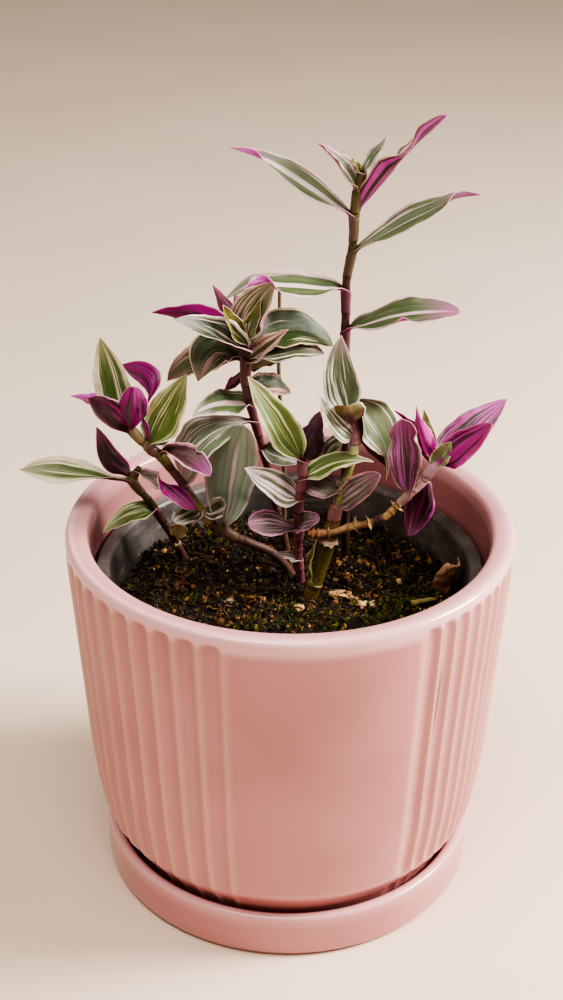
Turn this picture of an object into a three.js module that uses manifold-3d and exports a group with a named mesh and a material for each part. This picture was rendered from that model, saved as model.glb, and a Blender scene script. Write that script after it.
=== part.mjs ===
// Potted tradescantia: a variegated inch plant in a nursery pot, inside a fluted
// ceramic planter on its saucer. Millimetres, +Z up. The origin is the middle of
// the saucer's underside. The planter's plain front panel faces -Y.
import * as THREE from 'three';
import { mergeVertices } from 'three/addons/utils/BufferGeometryUtils.js';
import Module from 'manifold-3d';

const wasm = await Module();
wasm.setup();

// Driving dimensions
const SEAT_GAP = 0.3; // between pieces that rest on each other

// The saucer
const SAUCER_RADIUS = 65.7;
const SAUCER_HEIGHT = 17.4;
const SAUCER_FLOOR = 4.5;
const SAUCER_WALL = 4.1;

// The planter
const POT_FOOT = SAUCER_FLOOR + SEAT_GAP;
const POT_HEIGHT = 133.1;
const POT_LIP_RADIUS = 75;
const POT_LIP_WIDTH = 7;
const POT_LIP_ROUNDING = 1.4;
const POT_FLOOR = 11;
const POT_DRAIN_RADIUS = 6;
const FOOT_RECESS_RADIUS = 46;
const FOOT_RECESS_DEPTH = 1.5;

// The planter's flutes
const FLUTE_COUNT = 54;
const FLUTE_DEPTH = 1.3;
const PANEL_LEFT_DEG = -15.7; // the plain panel's edges, measured from the front
const PANEL_RIGHT_DEG = 33.5;
const FIRST_PITCH_DEG = 4.96; // just right of the panel, widening round the back
const FLUTE_STEPS = 3;
const PANEL_STEPS = 8;

// The nursery pot
const NURSERY_FOOT = POT_FLOOR + SEAT_GAP;
const NURSERY_RIM_TOP = 117.6;
const NURSERY_RIM_RADIUS = 65.5;
const NURSERY_MOUTH_RADIUS = 60.6;
const NURSERY_FOOT_RADIUS = 47;
const NURSERY_WALL = 1;
const NURSERY_SKIRT = 7;
const NURSERY_DRAINS = 6;
const NURSERY_DRAIN_RADIUS = 4;
const NURSERY_DRAIN_CIRCLE = 33;

// The soil and what stands in it
const SOIL_LEVEL = 104.2;
const SOIL_RELIEF = 0.9;
const SOIL_GAP = 0.5; // to the nursery pot's faceted wall
const STEM_BURIAL = 26;
const HOLE_CLEARANCE = 0.35;

// The leaves
const BLADE_THICKNESS = 0.65;
const WIDE_LEAF = 12; // leaves at least this wide get a finer section
const SMALL_LEAF = 8; // narrower leaves get fewer rows

const LATHE_STEPS = 42;
const SOIL_STEPS = 36;
const STEM_SIDES = 7;
const CUT_PAST = 3; // how far a cutting shape runs past what it cuts

// Each stem: the points of its middle line from the soil upward, its radius at
// the soil and at its tip, and its leaves. A leaf grows at a place counted in
// points along the stem. Its tip is a point, "top" is the way its upper side
// looks, "arch" lifts its middle to that side and "bow" bends it sideways.
// "fold", "twist" and "curl" shape the blade: degrees, degrees and millimetres.
const PLANTS = {
  tall_stem: {
    points: [[20, 23, 104], [19, 24, 148], [18, 26, 186], [18, 26, 196], [18, 26, 209],
      [19, 26, 216], [20, 26, 225], [20, 26, 231], [21, 26, 240], [22, 26, 245]],
    radius: [1.7, 1.4],
    leaves: [
      { at: 6.7, tip: [-20, 36, 250], width: 9, top: [-1, -1, 2], arch: 4.5, fold: 25,
        twist: -90, shoulder: 0.8, point: 1 },
      { at: 7.8, tip: [8, 28, 254], width: 7, top: [0.6, -1, 1], arch: 2, fold: 35, twist: -50 },
      { at: 8.9, tip: [30, 30, 256], width: 5, top: [-1, -1, 0.5], fold: 20 },
      { at: 8.9, tip: [18, 24, 251], width: 3, top: [1, -1, 1], fold: 20 },
      { at: 6.9, tip: [47, 15, 267], width: 10.5, top: [-1, 0.9, 1], arch: 1.5, fold: 35,
        twist: -110, neck: 2.2, shoulder: 0.6, point: 0.7 },
      { at: 5.1, tip: [62, 30, 237], width: 10.5, top: [-0.6, -0.6, 2], arch: 4, fold: 20,
        twist: -40, curl: 2, shoulder: 1.1, neck: 1.3 },
      { at: 3.6, tip: [-22, 17, 208], width: 13, top: [0, 0, 1], arch: 4, fold: 18, twist: 15,
        curl: 3, shoulder: 0.7 },
      { at: 2.2, tip: [55, 15, 203], width: 12.5, top: [-0.2, -0.5, 1], arch: 4, fold: 12,
        curl: 1, shoulder: 0.8, point: 0.6 },
    ],
  },
  back_stem: {
    points: [[-2, 34, 104], [-2, 36, 134], [-4, 40, 167], [-4, 42, 185], [-4, 43, 207]],
    radius: [0.9, 0.6],
    leaves: [],
  },
  bushy_stem: {
    points: [[0, 18, 104], [-2, 17, 118], [-5, 16, 131], [-8, 15, 147], [-11, 15, 159],
      [-13, 14, 168], [-15, 14, 177], [-15, 14, 185], [-15, 14, 191]],
    radius: [1.7, 1.5],
    leaves: [
      { at: 7.0, tip: [-37, 2, 205], width: 14, top: [0.5, -0.6, 1], arch: 3, fold: 25, curl: 1 },
      { at: 7.6, tip: [-46, 24, 199], width: 12, top: [-0.5, 0.9, 0.5], arch: 5, fold: 20 },
      { at: 7.8, tip: [-26, 26, 207], width: 7, top: [0, 1, 0.2], arch: 1, fold: 20 },
      { at: 7.9, tip: [-19, 30, 203], width: 7, top: [0, 1, 0.2], arch: 1, fold: 20 },
      { at: 7.9, tip: [-22, 6, 208], width: 6, top: [0.6, -1, 0.6], arch: -1, fold: 30 },
      { at: 7.9, tip: [-10, 14, 207], width: 6, top: [-0.6, -1, 0.6], arch: -1, fold: 30 },
      { at: 7.9, tip: [-5, 15, 204], width: 14, top: [-0.3, -1, 0.2], fold: 20, bow: -3 },
      { at: 6.8, tip: [-1, 8, 199], width: 9, top: [-0.8, -1, 1.2], arch: 1, fold: 35 },
      { at: 6.9, tip: [-30, 4, 183], width: 13, top: [-0.6, -1, 1], arch: 4, fold: 20,
        curl: 2, bow: 6, shoulder: 0.9 },
      { at: 6.9, tip: [-41, 16, 177], width: 12, top: [-0.6, -1, 1.2], arch: 5, fold: 15,
        bow: 5, shoulder: 0.9 },
      { at: 5.0, tip: [-32, 4, 172], width: 13, top: [0, -0.3, 1], arch: 5, fold: 15, curl: 1 },
      { at: 4.3, tip: [-34, 2, 153], width: 17, top: [-0.3, -1, 0.8], arch: 5, fold: 12,
        bow: 6, shoulder: 1.5 },
      { at: 6.3, tip: [-23, 24, 170], width: 4, top: [0, 1, 0.2], arch: 1, fold: 20 },
      { at: 3.4, tip: [3, 14, 148], width: 9, top: [-0.3, -1, 0.8], arch: 3, fold: 20 },
      { at: 7.6, tip: [14, 30, 184], width: 15, top: [0.2, -0.8, 1], arch: 4, fold: 15, bow: -5 },
      { at: 6.9, tip: [11, 26, 182], width: 8, top: [0, -0.2, 1], arch: 3, fold: 15 },
      { at: 6.5, tip: [-3, 26, 180], width: 8, top: [-0.4, 1, 0.4], fold: 20 },
      { at: 5.9, tip: [0, 22, 170], width: 9, top: [0, -0.8, 1], arch: 3, fold: 15 },
    ],
  },
  creeping_stem: {
    points: [[1, 13, 104], [-5, 10, 114], [-15, 7, 121], [-20, 6, 124], [-28, 5, 131],
      [-34, 5, 141], [-40, 5, 150], [-43, 4, 155], [-47, 4, 158], [-52, 4, 164], [-57, 5, 170]],
    radius: [1.8, 1.4],
    leaves: [
      { at: 9.7, tip: [-62, 10, 195], width: 13, top: [-0.1, -1, 0.1], arch: -1, fold: 18 },
      { at: 8.9, tip: [-66, 4, 176], width: 13, top: [0.3, 1, 0.6], arch: -3, fold: 40,
        point: 0.6 },
      { at: 9.0, tip: [-52, -2, 183], width: 12, top: [0, 1, 0.3], arch: -3, fold: 45,
        point: 0.5, bow: 2 },
      { at: 9.7, tip: [-73, 12, 173], width: 5, top: [-0.2, 1, 0.4], arch: 2, fold: 20 },
      { at: 7.9, tip: [-34, 8, 183], width: 11, top: [-0.5, -1, 0.3], arch: -1, fold: 20 },
      { at: 8.1, tip: [-58, 22, 181], width: 10, top: [0.4, 0.9, -0.2], arch: -5, fold: 15,
        bow: -12, shoulder: 2.5, neck: 1 },
      { at: 7.8, tip: [-38, 14, 163], width: 6, top: [0, -1, 1], arch: 1, fold: 15 },
      { at: 7.0, tip: [-26, -8, 153], width: 8, top: [0.3, -0.3, 1], arch: 5, fold: 20 },
      { at: 3.2, tip: [-16, 4, 167], width: 14.5, top: [-0.1, -1, 0.15], fold: 15 },
      { at: 4.0, tip: [-39, -2, 136], width: 6, top: [0, 0.2, 1], arch: 3, fold: 15 },
      { at: 4.0, tip: [-22, 0, 141], width: 6, top: [-0.5, -0.4, 1], arch: -1, fold: 30 },
    ],
  },
  low_stem: {
    points: [[-37, 24, 103], [-41, 20, 115], [-45, 18, 124], [-48, 16, 131], [-53, 14, 139],
      [-53, 14, 143], [-51, 13, 146]],
    radius: [1.7, 1.3],
    leaves: [
      { at: 4.0, tip: [-91, 8, 148], width: 11, top: [0.1, -0.6, 1], arch: 2, fold: 15, curl: 1,
        shoulder: 1.5, neck: 1.3 },
      { at: 4.4, tip: [-65, 16, 160], width: 8, top: [-0.3, 1, 0.1], fold: 20 },
      { at: 5.0, tip: [-31, -6, 137], width: 7, top: [0.6, -0.6, 1], arch: 3, fold: 20,
        twist: -110, shoulder: 0.7, point: 0.6 },
      { at: 2.3, tip: [-64, 4, 126], width: 9, top: [-0.2, -0.6, 1], arch: 6, fold: 15, curl: 1 },
      { at: 0.9, tip: [-36, 24, 110], width: 6, top: [0, -1, 0.4], fold: 15 },
    ],
  },
  front_stem: {
    points: [[4, 8, 105], [3, 5, 117], [3, 3, 129], [3, 1, 140], [4, 0, 149], [4, 0, 155]],
    radius: [1.7, 1.5],
    leaves: [
      { at: 4.9, tip: [-14, 2, 185], width: 12, top: [0.4, -1, 0.4], arch: 1, fold: 15 },
      { at: 4.9, tip: [10, 6, 171], width: 9.5, top: [-0.3, 1, 0.1], fold: 30 },
      { at: 4.3, tip: [27, -6, 159], width: 8, top: [0, -0.5, 1], arch: 3, fold: 15 },
      { at: 3.0, tip: [-15, -8, 157], width: 11, top: [0.6, -1, 0.8], fold: 15 },
      { at: 1.9, tip: [-14, -8, 136], width: 10, top: [0, -0.8, 1], arch: 2, fold: 12,
        point: 0.5, shoulder: 0.6 },
      { at: 1.9, tip: [10, -4, 136], width: 6, top: [0, -0.8, 1], arch: 1, fold: 15 },
      { at: 0.8, tip: [-5, 2, 119], width: 4, top: [0, -0.8, 1], arch: 1, fold: 15 },
    ],
  },
  thick_stem: {
    points: [[7, -2, 104], [11, -2, 118], [14, -3, 131], [15, -3, 138], [17, -3, 145],
      [19, -2, 152], [21, 0, 159], [21, 1, 165], [20, 2, 170]],
    radius: [2.9, 1.5],
    leaves: [
      { at: 3.3, tip: [29, -12, 156], width: 11, top: [-0.5, -1, 0.8], arch: 1, fold: 15 },
      { at: 4.0, tip: [6, 4, 146], width: 10, top: [0.4, -1, 0.5], arch: 2, fold: 20,
        point: 0.5, shoulder: 0.6 },
      { at: 8.0, tip: [16, 8, 197], width: 12.5, top: [0, -1, 0.15], fold: 18 },
      { at: 7.8, tip: [18, -6, 180], width: 12, top: [0, 1, 0.3], arch: -2, fold: 35,
        point: 0.3 },
      { at: 6.2, tip: [9, -6, 182], width: 9, top: [0.5, -1, 0.5], fold: 20 },
      { at: 7.9, tip: [32, 6, 145], width: 14, top: [0.5, -1, 1.2], arch: 6, fold: 15, bow: -8,
        shoulder: 0.6, point: 1.3 },
      { at: 7.0, tip: [31, 10, 166], width: 7, top: [0, 1, 0.3], fold: 15 },
      { at: 7.2, tip: [12, 14, 149], width: 6, top: [-0.5, -1, 0.6], arch: 4, fold: 15 },
      { at: 0.4, tip: [9.5, -6, 130], width: 3.5, top: [-1, -0.5, 0.2], arch: 2, fold: 30 },
    ],
    branch: {
      points: [[6, -5, 131], [11, -5, 131], [16, -5, 132], [21, -5, 134], [26, -5, 135],
        [32, -5, 138], [36, -4, 142], [40, -4, 146], [43, -3, 149], [46, -2, 153], [48, -1, 156]],
      radius: [1.3, 1.4],
      leaves: [
        { at: 6.6, tip: [35, -12, 177], width: 12.5, top: [0, -1, 0.3], fold: 20, point: 0.7 },
        { at: 9.3, tip: [41, 4, 173], width: 7, top: [0.5, 1, 0.1], fold: 60 },
        { at: 9.6, tip: [44, 10, 170], width: 5, top: [0, -1, 0.3], fold: 20 },
        { at: 9.6, tip: [34, 16, 167], width: 5, top: [0, 1, 0.5], arch: 3, fold: 20 },
        { at: 9.8, tip: [71, 8, 175], width: 12, top: [-0.4, -1, 0.6], arch: 2, fold: 15 },
        { at: 9.4, tip: [63, -10, 173], width: 11, top: [0.4, 1, -0.1], fold: 25, point: 0.6 },
        { at: 9.5, tip: [51, -4, 165], width: 6, top: [-0.2, -1, 0.3], fold: 50 },
        { at: 8.1, tip: [40, 0, 127], width: 12.5, top: [0.6, 1, 0.6], arch: 3, fold: 20,
          point: 0.7 },
      ],
    },
  },
};

// Turns a closed geometry into a solid with merged corners and outward faces.
function solidOf(geometry) {
  geometry.deleteAttribute('normal');
  geometry.deleteAttribute('uv');
  const merged = mergeVertices(geometry, 1e-4);
  const places = merged.attributes.position.array;
  const index = merged.index.array;
  const corner = (i) => new THREE.Vector3().fromArray(places, 3 * i);
  const faces = [];
  let volume = 0;
  for (let i = 0; i < index.length; i += 3) {
    const [a, b, c] = [index[i], index[i + 1], index[i + 2]];
    if (a === b || b === c || c === a) continue;
    faces.push([a, b, c]);
    volume += corner(a).dot(corner(b).cross(corner(c)));
  }
  if (volume < 0) faces.forEach((face) => face.reverse());
  return new wasm.Manifold(new wasm.Mesh({
    numProp: 3,
    vertProperties: new Float32Array(places),
    triVerts: new Uint32Array(faces.flat()),
  }));
}

function geometryOf(solid) {
  const mesh = solid.getMesh();
  const geometry = new THREE.BufferGeometry();
  geometry.setAttribute('position', new THREE.BufferAttribute(mesh.vertProperties, 3));
  geometry.setIndex(new THREE.BufferAttribute(mesh.triVerts, 1));
  geometry.computeVertexNormals();
  return geometry;
}

function indexedGeometry(points, faces) {
  const geometry = new THREE.BufferGeometry();
  geometry.setAttribute('position', new THREE.Float32BufferAttribute(points.flat(), 3));
  geometry.setIndex(faces.flat());
  return geometry;
}

// A turned solid: the profile's points are [radius, height].
function turned(profile, steps = LATHE_STEPS) {
  const points = profile.map(([r, z]) => new THREE.Vector2(r, z));
  const lathe = new THREE.LatheGeometry(points, steps);
  lathe.rotateX(Math.PI / 2);
  return solidOf(lathe);
}

function plug(radius, bottom, top, x = 0, y = 0) {
  const cylinder = new THREE.CylinderGeometry(radius, radius, top - bottom, 12);
  cylinder.rotateX(Math.PI / 2);
  cylinder.translate(x, y, (top + bottom) / 2);
  return solidOf(cylinder);
}

// Closes a stack of rings, each a list of points, into one solid.
function ringSolid(rings) {
  const count = rings[0].length;
  const points = rings.flat();
  const faces = [];
  for (let r = 0; r + 1 < rings.length; r++) {
    for (let i = 0; i < count; i++) {
      const a = r * count + i;
      const b = r * count + (i + 1) % count;
      faces.push([a, b, a + count], [b, b + count, a + count]);
    }
  }
  const capRing = (ring, start, flip) => {
    const middle = new THREE.Vector3();
    ring.forEach((p) => middle.add(new THREE.Vector3(...p)));
    middle.divideScalar(count);
    points.push(middle.toArray());
    for (let i = 0; i < count; i++) {
      const face = [points.length - 1, start + (i + 1) % count, start + i];
      faces.push(flip ? face.reverse() : face);
    }
  };
  capRing(rings[0], 0, false);
  capRing(rings.at(-1), (rings.length - 1) * count, true);
  return solidOf(indexedGeometry(points, faces));
}

// The directions round the planter, each with how deep the flute is there (0 to 1).
function fluteColumns() {
  const columns = [];
  const turn = 360 - (PANEL_RIGHT_DEG - PANEL_LEFT_DEG);
  const widening = (turn - FLUTE_COUNT * FIRST_PITCH_DEG) * 2 / (FLUTE_COUNT * (FLUTE_COUNT - 1));
  let start = PANEL_RIGHT_DEG;
  for (let flute = 0; flute < FLUTE_COUNT; flute++) {
    const pitch = FIRST_PITCH_DEG + widening * flute;
    for (let step = 0; step < FLUTE_STEPS; step++) {
      const across = step / FLUTE_STEPS;
      columns.push([start + across * pitch, Math.sin(Math.PI * across) ** 0.8]);
    }
    start += pitch;
  }
  const panel = PANEL_RIGHT_DEG - PANEL_LEFT_DEG;
  for (let step = 0; step < PANEL_STEPS; step++) {
    columns.push([start + panel * step / PANEL_STEPS, 0]);
  }
  return columns;
}

// The planter's outside: [height, radius, share of the flute depth, drop in a flute].
const POT_OUTSIDE = [
  [POT_FOOT, 57.5, 0, 0],
  [17.5, 60.6, 0.3, 0],
  [27, 66.9, 1, 1.6],
  [46, 69.9, 1, 0],
  [121, 75, 1, 0],
  [127.6, 75.2, 0.8, 0],
  [130.4, 75.1, 0, 0],
  [132.3, 74.2, 0, 0],
  [POT_HEIGHT, 72, 0, 0],
];

function outerPot() {
  const columns = fluteColumns();
  const rings = POT_OUTSIDE.map(([height, radius, share, drop]) => columns.map(([deg, depth]) => {
    const angle = THREE.MathUtils.degToRad(deg);
    const r = radius - share * depth * FLUTE_DEPTH;
    return [r * Math.sin(angle), -r * Math.cos(angle), height - drop * depth];
  }));
  const mouth = POT_LIP_RADIUS - POT_LIP_WIDTH;
  const lip = mouth + POT_LIP_ROUNDING;
  const inside = turned([
    [0, POT_FLOOR], [52, POT_FLOOR], [56, 13], [59, 22], [62.5, 45], [66, 100],
    [67.3, 129], [mouth, 132], [lip, POT_HEIGHT], [lip, POT_HEIGHT + CUT_PAST], [0, POT_HEIGHT + CUT_PAST],
  ]);
  const recess = turned([
    [0, 0], [FOOT_RECESS_RADIUS, 0], [FOOT_RECESS_RADIUS, POT_FOOT + FOOT_RECESS_DEPTH],
    [0, POT_FOOT + FOOT_RECESS_DEPTH],
  ], 32);
  const drain = plug(POT_DRAIN_RADIUS, 0, POT_FLOOR + CUT_PAST);
  return ringSolid(rings).subtract(inside).subtract(recess).subtract(drain);
}

function saucer() {
  const outer = SAUCER_RADIUS;
  const inner = SAUCER_RADIUS - SAUCER_WALL;
  return turned([
    [0, 0], [outer - 1.5, 0], [outer - 0.6, 0.9], [outer, SAUCER_HEIGHT - 2.6],
    [outer - 0.4, SAUCER_HEIGHT - 1.1], [outer - 1.3, SAUCER_HEIGHT - 0.2],
    [outer - 2.3, SAUCER_HEIGHT], [inner + 0.7, SAUCER_HEIGHT - 0.5],
    [inner, SAUCER_HEIGHT - 1.8], [inner - 1.2, 7], [inner - 3, SAUCER_FLOOR + 0.3],
    [inner - 5, SAUCER_FLOOR], [0, SAUCER_FLOOR],
  ]);
}

// The nursery pot's inner radius at a height, for the pot itself and its soil.
function nurseryRadius(height) {
  const share = (height - NURSERY_FOOT) / (NURSERY_RIM_TOP - NURSERY_FOOT);
  const foot = NURSERY_FOOT_RADIUS - NURSERY_WALL;
  return foot + (NURSERY_MOUTH_RADIUS - foot) * share;
}

function nurseryPot() {
  const top = NURSERY_RIM_TOP;
  const under = top - NURSERY_WALL;
  const rim = NURSERY_RIM_RADIUS;
  const floor = NURSERY_FOOT + NURSERY_WALL;
  let pot = turned([
    [0, NURSERY_FOOT], [NURSERY_FOOT_RADIUS, NURSERY_FOOT],
    [nurseryRadius(under) + NURSERY_WALL, under], [rim - NURSERY_WALL, under],
    [rim - NURSERY_WALL, top - NURSERY_SKIRT], [rim, top - NURSERY_SKIRT],
    [rim, top - 0.5], [rim - 0.5, top], [NURSERY_MOUTH_RADIUS + 0.3, top],
    [nurseryRadius(under), under], [nurseryRadius(floor), floor], [0, floor],
  ]);
  for (let i = 0; i < NURSERY_DRAINS; i++) {
    const angle = 2 * Math.PI * i / NURSERY_DRAINS;
    const [x, y] = [NURSERY_DRAIN_CIRCLE * Math.cos(angle), NURSERY_DRAIN_CIRCLE * Math.sin(angle)];
    const [bottom, over] = [NURSERY_FOOT - CUT_PAST, floor + CUT_PAST];
    pot = pot.subtract(plug(NURSERY_DRAIN_RADIUS, bottom, over, x, y));
  }
  return pot;
}

// The crumbly surface of the soil, as a height over a point.
function soilHeight(x, y) {
  const lumps = Math.sin(x * 0.21 + 1.3) * Math.cos(y * 0.17 - 0.6);
  const crumbs = 0.5 * Math.sin(x * 0.43 - y * 0.31) + 0.4 * Math.cos(x * 0.13 + y * 0.52);
  return SOIL_LEVEL + SOIL_RELIEF * (lumps + crumbs);
}

function soilBody() {
  const bottom = NURSERY_FOOT + NURSERY_WALL + SEAT_GAP;
  const ring = (radius, height) => Array.from({ length: SOIL_STEPS }, (_, i) => {
    const angle = 2 * Math.PI * i / SOIL_STEPS;
    const [x, y] = [radius * Math.cos(angle), radius * Math.sin(angle)];
    return [x, y, height ?? soilHeight(x, y)];
  });
  const edge = nurseryRadius(SOIL_LEVEL - 2) - SOIL_GAP;
  const rings = [ring(nurseryRadius(bottom) - SOIL_GAP, bottom)];
  [1, 0.84, 0.64, 0.42, 0.2].forEach((share) => rings.push(ring(edge * share)));
  return ringSolid(rings);
}

// A point on the smooth curve through the points; place runs from 0 to the last one.
function curvePoint(points, place) {
  const last = points.length - 1;
  const i = Math.min(Math.max(Math.floor(place), 0), last - 1);
  const u = place - i;
  const p1 = points[i];
  const p2 = points[i + 1];
  const p0 = points[i - 1] ?? p1.clone().multiplyScalar(2).sub(p2);
  const p3 = points[i + 2] ?? p2.clone().multiplyScalar(2).sub(p1);
  const weights = [
    -u + 2 * u ** 2 - u ** 3,
    2 - 5 * u ** 2 + 3 * u ** 3,
    u + 4 * u ** 2 - 3 * u ** 3,
    -(u ** 2) + u ** 3,
  ];
  const out = new THREE.Vector3();
  [p0, p1, p2, p3].forEach((p, k) => out.addScaledVector(p, weights[k] / 2));
  return out;
}

// A round stem along its points, with straight stretches between them.
function stemSolid(points, [foot, tip], extra = 0) {
  const last = points.length - 1;
  const start = points[1].clone().sub(points[0]);
  let across = start.cross(new THREE.Vector3(0.1, 1, 0.3));
  const rings = points.map((point, i) => {
    const before = points[Math.max(i - 1, 0)];
    const after = points[Math.min(i + 1, last)];
    const along = after.clone().sub(before).normalize();
    across = across.clone().addScaledVector(along, -across.dot(along)).normalize();
    const other = along.clone().cross(across);
    const radius = THREE.MathUtils.lerp(foot, tip, i / last) + extra;
    return Array.from({ length: STEM_SIDES }, (_, k) => {
      const angle = 2 * Math.PI * k / STEM_SIDES;
      return point.clone().addScaledVector(across, radius * Math.cos(angle))
        .addScaledVector(other, radius * Math.sin(angle)).toArray();
    });
  });
  return ringSolid(rings);
}

// Half the leaf's width at a share of its length, as a part of its widest.
function leafOutline(share, shoulder, point) {
  const widest = shoulder / (shoulder + point);
  const scale = widest ** shoulder * (1 - widest) ** point;
  return share ** shoulder * (1 - share) ** point / scale;
}

// The rows of points of a leaf's middle sheet, with its upper side's direction.
function leafRows(base, leaf, rows, half) {
  const { width, arch = 0, bow = 0, fold = 15, twist = 0, curl = 0 } = leaf;
  const { shoulder = 0.5, point = 0.9, neck = 1.7, wave = 0.5 } = leaf;
  const tip = new THREE.Vector3(...leaf.tip);
  const chord = tip.clone().sub(base).normalize();
  const top = new THREE.Vector3(...leaf.top);
  const upper = top.addScaledVector(chord, -top.dot(chord)).normalize();
  const side = chord.clone().cross(upper).normalize();
  const middle = base.clone().add(tip).multiplyScalar(0.5)
    .addScaledVector(upper, 2 * arch).addScaledVector(side, 2 * bow);
  const sheet = [];
  for (let row = 0; row <= rows; row++) {
    const s = (row / rows) ** 0.9;
    const place = base.clone().multiplyScalar((1 - s) ** 2)
      .addScaledVector(middle, 2 * s * (1 - s)).addScaledVector(tip, s * s);
    const along = middle.clone().sub(base).multiplyScalar(1 - s)
      .addScaledVector(tip.clone().sub(middle), s).normalize();
    let up = upper.clone().addScaledVector(along, -upper.dot(along)).normalize();
    let out = along.clone().cross(up);
    const turn = THREE.MathUtils.degToRad(twist) * Math.max(0, (s - 0.25) / 0.75);
    [up, out] = [
      up.clone().multiplyScalar(Math.cos(turn)).addScaledVector(out, -Math.sin(turn)),
      out.clone().multiplyScalar(Math.cos(turn)).addScaledVector(up, Math.sin(turn)),
    ];
    place.addScaledVector(up, -curl * Math.max(0, (s - 0.62) / 0.38) ** 2);
    let reach = Math.max(0.25, width / 2 * leafOutline(s, shoulder, point));
    if (s < 0.16) reach = Math.max(reach, neck);
    const line = [];
    for (let c = -half; c <= half; c++) {
      const u = c / half;
      const lift = THREE.MathUtils.degToRad(fold) * Math.abs(u) ** 0.5;
      const phase = 4.4 * Math.PI * s + (u > 0 ? 1.3 : 0);
      const ripple = wave * Math.sin(phase) * u * u * Math.min(1, 6 * s * (1 - s));
      line.push(place.clone().addScaledVector(out, reach * u * Math.cos(lift))
        .addScaledVector(up, reach * Math.abs(u) * Math.sin(lift) + ripple));
    }
    sheet.push({ line, up });
  }
  return sheet;
}

// A blade: the sheet thickened both ways, its two faces split alike.
function bladeSolid(base, leaf) {
  const half = leaf.width >= WIDE_LEAF ? 2 : 1;
  const rows = leaf.width < SMALL_LEAF ? 4 : 5;
  const wide = 2 * half + 1;
  const sheet = leafRows(base, leaf, rows, half);
  const at = (r, c) => sheet[r].line[c];
  const upperSide = [];
  const lowerSide = [];
  for (let r = 0; r <= rows; r++) {
    for (let c = 0; c < wide; c++) {
      const along = at(Math.min(r + 1, rows), c).clone().sub(at(Math.max(r - 1, 0), c));
      const across = at(r, Math.min(c + 1, wide - 1)).clone().sub(at(r, Math.max(c - 1, 0)));
      const normal = across.cross(along).normalize();
      if (normal.dot(sheet[r].up) < 0) normal.negate();
      const offset = normal.multiplyScalar(BLADE_THICKNESS / 2);
      upperSide.push(at(r, c).clone().add(offset).toArray());
      lowerSide.push(at(r, c).clone().sub(offset).toArray());
    }
  }
  const below = upperSide.length;
  const faces = [];
  const quad = (a, b, c, d) => faces.push([a, c, b], [b, c, d]);
  for (let r = 0; r < rows; r++) {
    for (let c = 0; c + 1 < wide; c++) {
      const a = r * wide + c;
      quad(a, a + 1, a + wide, a + wide + 1);
      faces.push([below + a, below + a + 1, below + a + wide]);
      faces.push([below + a + 1, below + a + wide + 1, below + a + wide]);
    }
    const left = r * wide;
    const right = left + wide - 1;
    quad(left, left + wide, below + left, below + left + wide);
    quad(right + wide, right, below + right + wide, below + right);
  }
  for (let c = 0; c + 1 < wide; c++) {
    const end = rows * wide + c;
    quad(c + 1, c, below + c + 1, below + c);
    quad(end, end + 1, below + end, below + end + 1);
  }
  return solidOf(indexedGeometry([...upperSide, ...lowerSide], faces));
}

function leafyStem({ points, radius, leaves }) {
  const path = points.map((p) => new THREE.Vector3(...p));
  const blades = leaves.map((leaf) => bladeSolid(curvePoint(path, leaf.at), leaf));
  return { path, blades, radius };
}

// The stem below the soil is straight down, in a plain hole.
function buriedPath(path) {
  const foot = path[0].clone();
  foot.z -= STEM_BURIAL;
  return [foot, ...path];
}

function plantSolid(plant) {
  const { path, blades, radius } = leafyStem(plant);
  let solid = stemSolid(buriedPath(path), radius);
  blades.forEach((blade) => {
    solid = solid.add(blade);
  });
  if (plant.branch) {
    const branch = leafyStem(plant.branch);
    solid = solid.add(stemSolid(branch.path, branch.radius));
    branch.blades.forEach((blade) => {
      solid = solid.add(blade);
    });
  }
  return solid;
}

function stemHole({ points, radius }) {
  const path = buriedPath(points.map((p) => new THREE.Vector3(...p)));
  path[0].z -= HOLE_CLEARANCE;
  return stemSolid(path, radius, HOLE_CLEARANCE);
}

function soil() {
  let body = soilBody();
  Object.values(PLANTS).forEach((plant) => {
    body = body.subtract(stemHole(plant));
  });
  return body;
}

const part = new THREE.Group();

function addPiece(name, solid, color, roughness) {
  const material = new THREE.MeshStandardMaterial({ color, roughness, metalness: 0 });
  const mesh = new THREE.Mesh(geometryOf(solid), material);
  mesh.name = name;
  part.add(mesh);
}

const GLAZE = 0xd9a49f;
const BLACK_PLASTIC = 0x4b4a4c;
const SOIL_BROWN = 0x2a2018;
const LEAF_GREEN = 0x6f8a62;
const LEAF_PURPLE = 0x8a4a78;

addPiece('saucer', saucer(), GLAZE, 0.25);
addPiece('outer_pot', outerPot(), GLAZE, 0.25);
addPiece('nursery_pot', nurseryPot(), BLACK_PLASTIC, 0.45);
addPiece('soil', soil(), SOIL_BROWN, 0.95);
Object.entries(PLANTS).forEach(([name, plant]) => {
  const color = name === 'creeping_stem' || name === 'low_stem' ? LEAF_PURPLE : LEAF_GREEN;
  addPiece(name, plantSolid(plant), color, 0.5);
});

export default part;
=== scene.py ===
"""Potted tradescantia: the finish of a variegated inch plant in its fluted glazed planter.

Sizes are millimetres and become metres where a mesh is made. The origin is the middle of
the saucer's underside, +Z is up and the planter's plain front panel faces -Y.
"""
import math

import bmesh
import bpy
import numpy as np
from mathutils import Euler, Matrix, Vector, noise


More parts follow.
